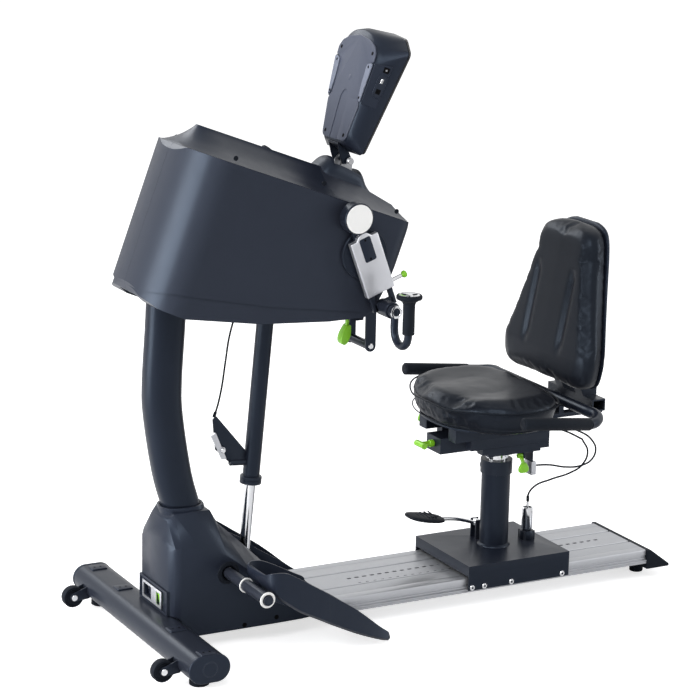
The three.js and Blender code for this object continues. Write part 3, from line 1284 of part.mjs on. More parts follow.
function railEndCap() {
  const inner = rail.half - rail.ledgeIn - rail.wall - gap;
  const start = rail.front + gap;
  const half = rail.half + railCap.lip;
  const body = sidePrism([
    [start, railCap.low], [capFront, railCap.low], [capFront, railCap.tip],
    [rail.front + railCap.shoulderAhead, rail.top], [start, rail.top + bite],
  ], -half, half);
  const plug = box(rail.front - railCap.plug, start + bite, -inner, inner, rail.low + rail.wall + gap,
    rail.top - rail.wall - gap);
  const footX = rail.front + railCap.footAhead;
  const feet = sides.map((side) => rod([footX, side * railCap.footY, 0], [footX, side * railCap.footY,
    railCap.low + bite], railCap.footRadius * railCap.footTopShare, roundFacets, railCap.footRadius));
  return join(body, plug, ...feet);
}

addPiece('seat_rail', seatRail(), looks.aluminium);
addPiece('rail_end_cap', railEndCap(), looks.softBlack);

// Carriage: folded sheet over the rail, glide strips, post, pedal lugs and the housing of the lock pin
const boltShares = [0.033, 0.152, 0.42, 0.93];
const pedalX = fromPost(pedal.x);

function carriageBody() {
  const glideOut = rail.half - carriage.glideInset;
  const c = {
    ...carriage, rear: fromPost(carriage.rear), front: fromPost(carriage.front),
      low: rail.low + carriage.lift,
    top: rail.top + carriage.rise, skirtLow: rail.top + carriage.skirtGap,
      boltZ: rail.low + carriage.boltRise,
    half: rail.half + carriage.sideGap + carriage.wall,
  };
  const postRadius = post.bore + post.wall;
  const shell = box(c.rear, c.front, -c.half, c.half, c.low, c.top);
  const innerHalf = c.half - c.wall;
  const inside = box(c.rear + c.wall, c.front - c.wall, -innerHalf, innerHalf, c.low - overrun,
    c.top - c.wall);
  const ends = box(c.rear - overrun, c.front + overrun, -innerHalf, innerHalf, c.low - overrun, c.skirtLow);
  const pieces = [cut(shell, inside, ends)];
  for (const side of sides) {
    pieces.push(box(c.rear + c.wall * 3, c.front - c.wall * 3, side * (glideOut - c.glideWidth),
      side * glideOut,
      rail.top + gap, c.top - c.wall + bite));
    for (const share of boltShares) {
      const x = c.rear + (c.front - c.rear) * share;
      pieces.push(acrossRod(x, c.boltZ, c.boltRadius, side * (c.half - bite), side * (c.half + c.boltHead),
        holeFacets));
    }
    const lugMid = pedal.y + side * (pedal.bossWidth / 2 + gap + pedal.lugThick / 2);
    pieces.push(box(pedalX - pedal.lugHalf, pedalX + pedal.lugHalf, lugMid - pedal.lugThick / 2,
      lugMid + pedal.lugThick / 2, c.top - bite, pedal.z + pedal.lugHalf));
  }
  const lugReach = pedal.bossWidth / 2 + gap + pedal.lugThick;
  pieces.push(acrossRod(pedalX, pedal.z, pedal.pin, pedal.y - lugReach, pedal.y + lugReach, pinFacets));
  pieces.push(rod([post.x, 0, c.top - c.wall], [post.x, 0, post.top + bite], postRadius));
  pieces.push(rod([post.x, 0, post.top], [post.x, 0, post.collarTop], postRadius + post.collarStep));
  pieces.push(box(lockX - lock.baseHalf, lockX + lock.baseHalf, -lock.baseHalf, lock.baseHalf, c.top - bite,
    c.top + lock.baseHeight));
  pieces.push(rod([lockX, 0, c.top], [lockX, 0, lock.bodyTop], lock.bodyRadius, smallFacets));
  const postBore = rod([post.x, 0, 0], [post.x, 0, post.collarTop + overrun], post.bore);
  const lockBore = rod([lockX, 0, 0], [lockX, 0, lock.bodyTop + overrun], lock.radius + gap, pinFacets);
  return cut(join(...pieces), postBore, lockBore);
}

function footPedal() {
  const { frontZ, y } = pedal;
  const frontX = fromPost(pedal.front);
  const stem = rod([frontX, y, frontZ], [fromPost(pedal.rear), y, pedal.rearZ], pedal.rodRadius,
    smallFacets);
  const boss = acrossRod(pedalX, pedal.z, pedal.bossRadius, y - pedal.bossWidth / 2,
    y + pedal.bossWidth / 2,
    smallFacets);
  const tipX = frontX - pedal.paddleLength;
  const tipZ = frontZ + pedal.paddleRise;
  const half = pedal.paddleThick / 2;
  const paddle = sidePrism([
    [tipX, tipZ - half], [frontX + half, frontZ - half], [frontX + half, frontZ + half], [tipX + half,
    tipZ + half],
    [tipX, tipZ],
  ], y - pedal.paddleHalf, y + pedal.paddleHalf);
  return cut(join(stem, boss, paddle), acrossRod(pedalX, pedal.z, pedal.pin + gap, -far, far));
}

function lockPin() {
  const shank = rod([lockX, 0, lock.shoulder], [lockX, 0, lock.bodyTop], lock.radius, pinFacets);
  const tip = rod([lockX, 0, rail.top + lock.clear], [lockX, 0, lock.shoulder + bite], lock.stem,
    pinFacets);
  const top = rod([lockX, 0, lock.bodyTop - bite], [lockX, 0, lock.bodyTop + lock.reach], lock.stem,
    pinFacets);
  return join(shank, tip, top);
}

const sliderBore = post.bore - post.sliderSlack - post.sliderWall;

function postSlider() {
  const low = post.sliderLow;
  const tube = rod([post.x, 0, low], [post.x, 0, swivel.hubLow - gap], post.bore - post.sliderSlack);
  return cut(tube, rod([post.x, 0, low - overrun], [post.x, 0, swivel.hubLow], sliderBore));
}

addPiece('carriage', carriageBody(), looks.black);
addPiece('foot_pedal', footPedal(), looks.softBlack);
addPiece('lock_pin', lockPin(), looks.chrome);
addPiece('post_slider', postSlider(), looks.black);

// Swivel frame: hub and spigot, cross plate, front box beam, lower slides, cable bracket and a lever lug
const plateTop = swivel.plateZ + swivel.plateThick;

function leverLug(x, y, z, top) {
  const lug = box(x + lugSize.reach + gap, x + lugSize.reach + gap + lugSize.thick, y - lugSize.half,
    y + lugSize.half, z - lugSize.half, top);
  const pin = rod([x - lugSize.reach, y, z], [x + lugSize.reach + lugSize.thick, y, z], lugSize.pin,
    pinFacets);
  return join(lug, pin);
}

function swivelFrame() {
  const s = swivel;
  const hub = rod([post.x, 0, s.hubLow], [post.x, 0, s.plateZ + bite], s.hubRadius, fineFacets);
  const spigot = rod([post.x, 0, s.hubLow - s.spigot], [post.x, 0, s.hubLow + bite], sliderBore - s.slack);
  const plateBody = box(post.x - s.halfX, post.x + s.halfX, -s.halfY, s.halfY, s.plateZ, plateTop);
  const beamBody = box(fromPost(beam.front), fromPost(beam.rear), -beam.half, beam.half, plateTop - bite,
    beam.high);
  const beamHollow = box(fromPost(beam.front) + beam.wall, fromPost(beam.rear) + overrun,
    -beam.half + beam.wall, beam.half - beam.wall,
    plateTop + beam.wall, beam.high - beam.wall);
  const knobHole = rod([fromPost(beam.front) - overrun, 0, knob.z],
    [fromPost(beam.front) + beam.wall + overrun, 0, knob.z], knob.stem + gap, smallFacets);
  const slides = sides.map((side) => box(fromPost(slide.front), fromPost(slide.rear),
    side * (slide.y - slide.half), side * (slide.y + slide.half),
    plateTop - bite, slide.mid));
  const bracketX = post.x + s.halfX - s.plateThick;
  const bracket = box(bracketX, bracketX + s.bracketThick, -s.bracketY - s.bracketHalf,
    -s.bracketY + s.bracketHalf, s.bracketLow,
    s.plateZ + bite);
  const lug = leverLug(fromPost(turnLever.x), -turnLever.y, turnLever.z, s.plateZ + bite);
  return cut(join(hub, spigot, plateBody, cut(beamBody, beamHollow), ...slides, bracket, lug), knobHole);
}

function slideKnob() {
  const stem = rod([fromPost(beam.front) - knob.reach, 0, knob.z], [fromPost(beam.front) + knob.inside, 0,
    knob.z], knob.stem, smallFacets);
  const cross = acrossRod(fromPost(beam.front) - knob.reach, knob.z, knob.barRadius, -knob.barHalf,
    knob.barHalf);
  return join(stem, cross);
}

// A hanging lever: boss on its pin, arm outwards and down, paddle at the end
function hangingLever(sizes, side) {
  const x = fromPost(sizes.x);
  const y = side * sizes.y;
  const outY = side * (sizes.y + sizes.out);
  const boss = rod([x - lugSize.reach, y, sizes.z], [x + lugSize.reach, y, sizes.z], lugSize.boss,
    smallFacets);
  const armRod = rod([x, y, sizes.z], [x, outY, sizes.z - sizes.drop], sizes.stem, smallFacets);
  const paddle = box(x - sizes.paddleHalf, x + sizes.paddleHalf, outY - side * sizes.paddleThick / 2,
    outY + side * sizes.paddleThick / 2, sizes.z - sizes.drop - sizes.paddleHeight,
      sizes.z - sizes.drop + sizes.stem);
  const bore = rod([x - lugSize.reach * 2, y, sizes.z], [x + lugSize.reach * 2, y, sizes.z],
    lugSize.pin + gap, pinFacets);
  return cut(join(boss, armRod, paddle), bore);
}

addPiece('swivel_frame', swivelFrame(), looks.black);
addPiece('slide_knob', slideKnob(), looks.green);
addPiece('swivel_lever', hangingLever(turnLever, left), looks.green);

// Seat pan: tray, upper slides, arms, cross channel, backrest uprights and handlebar saddles
const channelX = fromPost(tail.channelX);
const backRowShares = [
  [0, 0, 0.93], [0.03, 0.06, 0.975], [0.2, 0.14, 1], [0.4, 0.38, 0.88], [0.6, 0.62, 0.755], [0.8, 0.84,
  0.64],
  [0.93, 0.95, 0.57], [0.98, 0.985, 0.54], [1, 1, 0.5],
];

function backAt(z) {
  const share = (z - back.lowZ) / (back.highZ - back.lowZ);
  return fromPost(back.lowX) + (back.highX - back.lowX) * between(backRowShares, share, 1);
}

function seatPan() {
  const p = pan;
  const topLow = p.top - p.thick;
  const pieces = [box(fromPost(p.front), fromPost(p.rear), -p.half, p.half, topLow, p.top)];
  const armLow = topLow;
  for (const side of sides) {
    const riserIn = side * (slide.y - p.riserHalf);
    const riserOut = side * (slide.y + p.riserHalf);
    pieces.push(box(fromPost(p.riserFront), fromPost(p.riserRear), riserIn, riserOut, slide.high,
      topLow + bite));
    pieces.push(box(fromPost(slide.upperFront), fromPost(slide.rear), side * (slide.y - slide.half),
      side * (slide.y + slide.half), slide.mid + gap, slide.high + bite));
    pieces.push(box(fromPost(p.rear) - p.thick * 2, channelX + tail.channelHalf,
      side * (p.armY - p.armHalf), side * (p.armY + p.armHalf),
      armLow, tail.low + tail.wall));
    pieces.push(box(fromPost(hoop.cornerX) - hoop.radius / 2, fromPost(hoop.cornerX) + hoop.radius / 2,
      side * (p.armY - p.armHalf), side * (p.armY + p.armHalf),
      tail.low, hoop.backZ - hoop.radius - gap));
    const rearX = channelX + tail.channelHalf;
    const mount = back.thick + back.shellThick + 2 * gap;
    const upright = [
      [channelX - tail.channelHalf, tail.high - bite], [rearX, tail.high - bite], [rearX, tail.kneeZ],
      [backAt(tail.topZ) + mount + tail.tipThick, tail.topZ], [backAt(tail.topZ) + mount, tail.topZ],
      [backAt(tail.midZ) + mount + gap, tail.midZ], [backAt(tail.footZ) + mount + tail.relief, tail.footZ],
    ];
    pieces.push(sidePrism(upright, side * (tail.uprightY - tail.uprightHalf),
      side * (tail.uprightY + tail.uprightHalf)));
  }
  const channel = box(channelX - tail.channelHalf, channelX + tail.channelHalf, -tail.channelY,
    tail.channelY, tail.low, tail.high);
  const hollow = box(channelX - tail.channelHalf + tail.wall, channelX + tail.channelHalf - tail.wall,
    -tail.channelY - overrun, tail.channelY + overrun, tail.low + tail.wall, tail.high - tail.wall);
  const lug = leverLug(fromPost(farLever.x), farLever.y, farLever.z, topLow + bite);
  return join(cut(join(...pieces, channel), hollow), lug);
}

// Seat cushion: rings of share of the plan size and height, drawn in below the seam and sagging in the middle
function seatCushion() {
  const c = cushion;
  const centreX = fromPost((c.front + c.rear) / 2);
  const low = pan.top + c.clear;
  const halfX = (c.rear - c.front) / 2;
  const lowerRise = c.seam - low;
  const upperRise = c.crown - c.seam;
  const rings = [
    [0.9, low], [0.935, low + lowerRise * 0.12], [0.955, low + lowerRise * 0.5], [0.985,
    low + lowerRise * 0.85],
    [1, c.seam], [0.995, c.seam + upperRise * 0.4], [0.96, c.seam + upperRise * 0.8], [0.88, c.crown],
    [0.7, c.crown - c.sag * 0.3], [0.45, c.crown - c.sag * 0.8], [0.15, c.crown - c.sag],
  ];
  return loft(rings.map(([share, z]) => ovalPoints(halfX * share, c.half * share, cushionFacets,
    c.cornerShare, centreX)
    .map(([x, y]) => [x, y, z])));
}

addPiece('seat_pan', seatPan(), looks.black);
addPiece('slide_lever', hangingLever(farLever, right), looks.green);
addPiece('seat_cushion', seatCushion(), looks.vinyl);

// Backrest: each ring is one level, with the crown in front, two grooves and drawn-in sides
const backFrontShares = [
  [-1, 0.55], [-0.97, 0.22], [-0.85, 0.06], [-0.6, 0], [-0.44, 0], [-0.38, 0.13], [-0.32, 0], [0, -0.05],
  [0.32, 0], [0.38, 0.13], [0.44, 0], [0.6, 0], [0.85, 0.06], [0.97, 0.22], [1, 0.55],
];

function backrestRing(row, inset) {
  const [riseShare, , widthShare] = row;
  const z = back.lowZ + (back.highZ - back.lowZ) * riseShare;
  const front = backAt(z);
  const half = back.wideHalf * widthShare;
  const face = backFrontShares.map(([y, depth]) => [front + back.thick * (depth + inset), y * half, z]);
  const rear = [[front + back.thick, half * 0.94, z], [front + back.thick, -half * 0.94, z]];
  return [...face, ...rear];
}

function backrestCushion() {
  const insetShares = [0.35, 0.1, 0, 0, 0, 0, 0.04, 0.18, 0.45];
  return loft(backRowShares.map((row, i) => backrestRing(row, insetShares[i])));
}

function backrestShell() {
  return loft(backRowShares.slice(1, -1).map(([riseShare, , widthShare]) => {
    const z = back.lowZ + (back.highZ - back.lowZ) * riseShare;
    const front = backAt(z) + back.thick + gap * 2;
    const half = back.wideHalf * widthShare * 0.93;
    return [[front, -half, z], [front, half, z], [front + back.shellThick, half - back.shellThick, z],
      [front + back.shellThick, -half + back.shellThick, z]];
  }));
}

addPiece('backrest_shell', backrestShell(), looks.black);
addPiece('backrest_cushion', backrestCushion(), looks.vinyl);

// Handlebar: a U of tube behind the seat, with a foam grip along each arm
function handlebar() {
  const half = hoop.half;
  const quarter = [
    [fromPost(hoop.gripRearX), half, hoop.rearZ], [fromPost(hoop.bendX) - hoop.radius * 2,
    half - hoop.radius, hoop.rearZ],
    [fromPost(hoop.bendX), half - hoop.radius * 3, hoop.backZ], [fromPost(hoop.cornerX),
    half - hoop.radius * 6, hoop.backZ], [fromPost(hoop.cornerX), half / 3, hoop.backZ],
  ];
  const near = [[fromPost(hoop.frontX) + bite, -half, hoop.frontZ], ...quarter.map(([x, y, z]) => [x, -y,
    z])];
  const path = [...near, ...near.map(([x, y, z]) => [x, -y, z]).reverse()];
  const grips = sides.map((side) => rod([fromPost(hoop.frontX), side * half, hoop.frontZ],
    [fromPost(hoop.gripRearX), side * half, hoop.rearZ], hoop.gripRadius));
  return join(sweep(path, circlePoints(hoop.radius, bendSides), hoopSteps), ...grips);
}

addPiece('handlebar', handlebar(), looks.softBlack);

// Control cables
function cableRun(points) {
  return sweep(points, circlePoints(cord.radius, cableSides), points.length * cableSteps);
}

addPiece('cable_strut', cableRun([
  [172, 0, 549.5], [179, 0, 568], [191, 0, 615], [202, 0, 687], [212, 0, 749], [228, 0, 800], [250, 0,
  846], [250, 0, 853.5],
]), looks.softBlack);
addPiece('cable_lock', cableRun([
  [1050, -20, 468.6], [1050, -20, 458], [1110, -20, 430], [1184, -20, 402], [1231, -20, 377], [1250, -20,
  339], [1235, -18, 305],
  [1205, -14, 288], [1150, -8, 275], [1098, -2, 258], [1082, 0, 236], [1082, 0, 220.3],
]), looks.softBlack);
addPiece('cable_lever', cableRun([
  [1050, -45, 468.6], [1050, -45, 458], [1120, -45, 437], [1200, -45, 410], [1246, -45, 378], [1258, -45,
  350], [1246, -45, 326],
  [1215, -45, 314], [1170, -45, 315], [1112, -45, 328], [1064, -45, 332], [1055.4, -45, 332],
]), looks.softBlack);

// Move the origin to the floor under the middle of the machine
const wholeMiddle = (wheelAt.x - wheel.radius + capFront) / 2;
const armErgometer = new THREE.Group();
machine.position.x = -wholeMiddle;
armErgometer.add(machine);

export default armErgometer;
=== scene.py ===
"""Looks of an arm ergometer with a sliding swivel seat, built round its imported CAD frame.

Sizes are in millimetres from the rear cross bar, as in the CAD source, with the crank head towards -X
and the seat towards +X. Every finished piece is written in metres, with the origin on the floor under
the middle of the machine.
"""

import logging
import math
from dataclasses import dataclass
from enum import Enum
from typing import Sequence

import bmesh
import bpy
from mathutils import Matrix, Vector


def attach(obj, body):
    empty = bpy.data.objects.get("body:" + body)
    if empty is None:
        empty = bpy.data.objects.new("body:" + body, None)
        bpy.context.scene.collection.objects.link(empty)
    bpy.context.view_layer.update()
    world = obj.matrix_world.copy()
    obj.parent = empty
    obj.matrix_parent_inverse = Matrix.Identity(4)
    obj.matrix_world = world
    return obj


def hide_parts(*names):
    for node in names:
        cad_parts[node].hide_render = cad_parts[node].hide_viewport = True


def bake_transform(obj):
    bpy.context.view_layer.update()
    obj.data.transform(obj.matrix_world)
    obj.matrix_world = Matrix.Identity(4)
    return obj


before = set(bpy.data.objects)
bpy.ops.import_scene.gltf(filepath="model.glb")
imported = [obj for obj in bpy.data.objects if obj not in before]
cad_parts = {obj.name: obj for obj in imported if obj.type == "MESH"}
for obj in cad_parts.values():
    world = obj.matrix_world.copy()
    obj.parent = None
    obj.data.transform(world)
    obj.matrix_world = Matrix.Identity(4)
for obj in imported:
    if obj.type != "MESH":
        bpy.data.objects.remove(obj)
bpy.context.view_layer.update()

LOG = logging.getLogger("arm_ergometer")
METRE = 0.001
SHIFT_X = 669.0
TO_ROW = Matrix.Diagonal((METRE, METRE, METRE, 1)) @ Matrix.Translation((-SHIFT_X, 0, 0))
HERE = Matrix.Identity(4)

MOTTLE_WAVES = 14.0
GLOSS_WAVES = 38.0
GLOSS_DOWN, GLOSS_UP = 0.05, 0.07
# Edges lightened by pointiness: partly edge wear, partly a painted highlight along the edges.
WEAR_AND_HIGHLIGHT_FROM, WEAR_AND_HIGHLIGHT_TO = 0.53, 0.62
WEAR_AND_HIGHLIGHT_GAIN, WEAR_AND_HIGHLIGHT_LIFT = 1.8, 0.03
BRUSH_STRETCH = 0.012
BUMP_STRENGTH = 0.6
COAT_ROUGHNESS = 0.15
KEPT_SHARP = 32.0

Pair = tuple[float, float]
Place = tuple[float, float, float]


class Side(Enum):
    """The user's left and right, as signs along Y."""

    LEFT = -1
    RIGHT = 1

    @property
    def word(self) -> str:
        """Name the side as the CAD nodes do."""
        return self.name.lower()


class Plane(Enum):
    """The plane that an outline is drawn in before it is made thick."""

    SIDE = "xz"
    END = "yz"
    PLAN = "xy"


class Grain(Enum):
    """The fine relief of a surface."""

    MOULDED = "moulded"
    PEBBLE = "pebble"
    BRUSHED = "brushed"
    PORES = "pores"
    SATIN = "satin"


@dataclass(frozen=True)
class Finish:
    """One surface finish: its colour, gloss, relief, how it varies, and edges lightened as wear and painted
    highlight.
    """

    name: str
    slot: str
    colour: Place
    roughness: float
    metallic: float = 0.0
    grain: Grain = Grain.MOULDED
    grain_mm: float = 0.7
    depth_mm: float = 0.05
    mottle: float = 0.12
    edge_wear_and_highlight: float = 0.0
    coat: float = 0.0
    sheen: float = 0.0
    specular: float = 0.5
    tint: Place = (1.0, 1.0, 1.0)

    def material(self) -> bpy.types.Material:
        """Build the finish once and hand it out again after that.

        Returns:
            The finish as a node material.
        """
        title = f"{self.name}_finish"
        known = bpy.data.materials.get(title)
        if known is not None:
            return known
        made = bpy.data.materials.new(title)
        made.use_nodes = True
        tree = made.node_tree
        shader = tree.nodes["Principled BSDF"]
        shader.inputs["Metallic"].default_value = self.metallic
        shader.inputs["Coat Weight"].default_value = self.coat
        shader.inputs["Coat Roughness"].default_value = COAT_ROUGHNESS
        shader.inputs["Sheen Weight"].default_value = self.sheen
        shader.inputs["Specular IOR Level"].default_value = self.specular
        shader.inputs["Specular Tint"].default_value = (*self.tint, 1)
        coordinates = tree.nodes.new("ShaderNodeTexCoord").outputs["Object"]
        self._colour(tree, coordinates, shader)
        self._gloss(tree, coordinates, shader)
        self._relief(tree, coordinates, shader)
        return made

    def _colour(self, tree: bpy.types.NodeTree, coordinates: bpy.types.NodeSocket,
                shader: bpy.types.Node) -> None:
        """Mottle the colour and lighten the edges, partly as wear and partly as a painted highlight.

        Args:
            tree: The material's nodes.
            coordinates: Where the patterns are read from.
            shader: The shader that takes the colour.
        """
        cloud = self._noise(tree, coordinates, MOTTLE_WAVES, 6.0)
        spread = tree.nodes.new("ShaderNodeMix")
        spread.data_type = "RGBA"
        spread.inputs["A"].default_value = (*[c * (1 - self.mottle) for c in self.colour], 1)
        spread.inputs["B"].default_value = (*[min(1.0, c * (1 + self.mottle)) for c in self.colour], 1)
        tree.links.new(cloud, spread.inputs["Factor"])
        colour = spread.outputs["Result"]
        # Lighter colour on convex edges: partly edge wear, partly a painted highlight.
        if self.edge_wear_and_highlight > 0:
            edge = tree.nodes.new("ShaderNodeNewGeometry").outputs["Pointiness"]
            band = tree.nodes.new("ShaderNodeMapRange")
            band.inputs["From Min"].default_value = WEAR_AND_HIGHLIGHT_FROM
            band.inputs["From Max"].default_value = WEAR_AND_HIGHLIGHT_TO
            band.inputs["To Max"].default_value = self.edge_wear_and_highlight
            tree.links.new(edge, band.inputs["Value"])
            worn_and_highlighted = tree.nodes.new("ShaderNodeMix")
            worn_and_highlighted.data_type = "RGBA"
            worn_and_highlighted.inputs["B"].default_value = (*[min(1.0, c * WEAR_AND_HIGHLIGHT_GAIN + WEAR_AND_HIGHLIGHT_LIFT) for c in self.colour], 1)
            tree.links.new(band.outputs["Result"], worn_and_highlighted.inputs["Factor"])
            tree.links.new(colour, worn_and_highlighted.inputs["A"])
            colour = worn_and_highlighted.outputs["Result"]
        tree.links.new(colour, shader.inputs["Base Color"])

    def _gloss(self, tree: bpy.types.NodeTree, coordinates: bpy.types.NodeSocket,
               shader: bpy.types.Node) -> None:
        """Vary the roughness over a hand's breadth.

        Args:
            tree: The material's nodes.
            coordinates: Where the patterns are read from.
            shader: The shader that takes the roughness.
        """
        cloud = self._noise(tree, coordinates, GLOSS_WAVES, 4.0)
        spread = tree.nodes.new("ShaderNodeMapRange")
        spread.inputs["To Min"].default_value = max(0.03, self.roughness - GLOSS_DOWN)
        spread.inputs["To Max"].default_value = min(1.0, self.roughness + GLOSS_UP)
        tree.links.new(cloud, spread.inputs["Value"])
        tree.links.new(spread.outputs["Result"], shader.inputs["Roughness"])

    def _relief(self, tree: bpy.types.NodeTree, coordinates: bpy.types.NodeSocket,
                shader: bpy.types.Node) -> None:
        """Raise the fine grain.

        Args:
            tree: The material's nodes.
            coordinates: Where the patterns are read from.
            shader: The shader that takes the bumped normal.
        """
        scale = 1.0 / (self.grain_mm * METRE)
        if self.grain in (Grain.PEBBLE, Grain.PORES):
            cells = tree.nodes.new("ShaderNodeTexVoronoi")
            cells.feature = "SMOOTH_F1" if self.grain is Grain.PEBBLE else "F1"
            cells.inputs["Scale"].default_value = scale
            tree.links.new(coordinates, cells.inputs["Vector"])
            height = cells.outputs["Distance"]
        elif self.grain is Grain.BRUSHED:
            stretch = tree.nodes.new("ShaderNodeMapping")
            stretch.inputs["Scale"].default_value = (BRUSH_STRETCH, 1.0, 1.0)
            tree.links.new(coordinates, stretch.inputs["Vector"])
            height = self._noise(tree, stretch.outputs["Vector"], scale, 3.0)
        else:
            height = self._noise(tree, coordinates, scale, 3.0)
        bump = tree.nodes.new("ShaderNodeBump")
        bump.inputs["Strength"].default_value = BUMP_STRENGTH
        bump.inputs["Distance"].default_value = self.depth_mm * METRE
        tree.links.new(height, bump.inputs["Height"])
        tree.links.new(bump.outputs["Normal"], shader.inputs["Normal"])

    @staticmethod
    def _noise(tree: bpy.types.NodeTree, coordinates: bpy.types.NodeSocket, scale: float,
               detail: float) -> bpy.types.NodeSocket:
        """Add a noise pattern.

        Args:
            tree: The material's nodes.
            coordinates: Where the pattern is read from.
            scale: Waves per metre.
            detail: Octaves.

        Returns:
            The pattern's value.
        """
        noise = tree.nodes.new("ShaderNodeTexNoise")
        noise.inputs["Scale"].default_value = scale
        noise.inputs["Detail"].default_value = detail
        tree.links.new(coordinates, noise.inputs["Vector"])
        return noise.outputs["Fac"]


COLD = (0.62, 0.78, 1.0)  # tint of reflections in the black parts
POWDER = Finish("black_powder_coat", "black_metal", (0.0080, 0.0102, 0.0170), 0.30, grain_mm=0.9,
                depth_mm=0.05, edge_wear_and_highlight=0.3, specular=0.24, tint=COLD)
CASING = Finish("casing_plastic", "casing_plastic", (0.0100, 0.0125, 0.0210), 0.34, grain_mm=1.1,
                depth_mm=0.06, edge_wear_and_highlight=0.25, specular=0.26, tint=COLD)
RUBBER = Finish("black_rubber", "black_rubber", (0.0065, 0.0075, 0.0105), 0.58, grain_mm=1.4,
                depth_mm=0.08, specular=0.13, tint=COLD)
FOAM = Finish("black_foam", "black_foam", (0.0065, 0.0078, 0.0110), 0.66, grain=Grain.PORES, grain_mm=1.2,
              depth_mm=0.2, sheen=0.03, specular=0.13, tint=COLD)
SILVER = Finish("silver_cover", "silver_cover", (0.60, 0.61, 0.645), 0.34, 0.85, Grain.SATIN, 0.5, 0.02, 0.04)
ALUMINIUM = Finish("rail_aluminium", "rail_aluminium", (0.43, 0.44, 0.465), 0.36, 0.8, Grain.BRUSHED, 0.6,
                   0.05, 0.05)
CHROME = Finish("bright_chrome", "bright_chrome", (0.72, 0.73, 0.75), 0.1, 1.0, Grain.SATIN, 8.0, 0.02, 0.02)
STEEL = Finish("plain_steel", "plain_steel", (0.40, 0.41, 0.43), 0.35, 0.9, Grain.BRUSHED, 0.7, 0.05, 0.08)
ZINC = Finish("bracket_steel", "bracket_steel", (0.50, 0.51, 0.54), 0.3, 0.9, Grain.SATIN, 1.5, 0.03, 0.08)
GREEN = Finish("green_plastic", "green_plastic", (0.19, 0.50, 0.010), 0.36, grain_mm=1.0, depth_mm=0.04,
               mottle=0.06, coat=0.1)
GREY = Finish("console_plastic", "console_plastic", (0.048, 0.056, 0.082), 0.38, grain_mm=0.9, depth_mm=0.07,
              edge_wear_and_highlight=0.2, specular=0.25)
PALE = Finish("tab_plastic", "console_plastic", (0.10, 0.115, 0.16), 0.42, grain_mm=0.9, depth_mm=0.05)
SCREEN = Finish("screen_glass", "screen_glass", (0.006, 0.006, 0.008), 0.08, grain=Grain.SATIN, grain_mm=20.0,
                depth_mm=0.01, coat=0.4)
VINYL = Finish("vinyl", "vinyl", (0.0058, 0.0068, 0.0102), 0.33, grain=Grain.PEBBLE, grain_mm=1.7,
               depth_mm=0.12, sheen=0.015, specular=0.2, tint=COLD)
PIPING = Finish("seam_piping", "vinyl", (0.0030, 0.0038, 0.0060), 0.45, grain=Grain.PEBBLE, grain_mm=1.0,
                depth_mm=0.08, specular=0.14, tint=COLD)
# Painted shade: near-black and barely reflecting, laid where holes, sockets and recessed screws are.
HOLE = Finish("painted_recess_shade", "black_rubber", (0.001, 0.001, 0.0015), 0.85, grain_mm=2.0, depth_mm=0.02,
              specular=0.08)
WHITE = Finish("white_disc", "silver_cover", (0.8, 0.8, 0.79), 0.3, grain_mm=1.0, depth_mm=0.01, mottle=0.02)

NODE_FINISHES = {
    "base_frame": POWDER, "head_frame": STEEL, "crank_shaft": STEEL, "flywheel": STEEL, "drive_belt": RUBBER,
    "swivel_frame": POWDER,
}


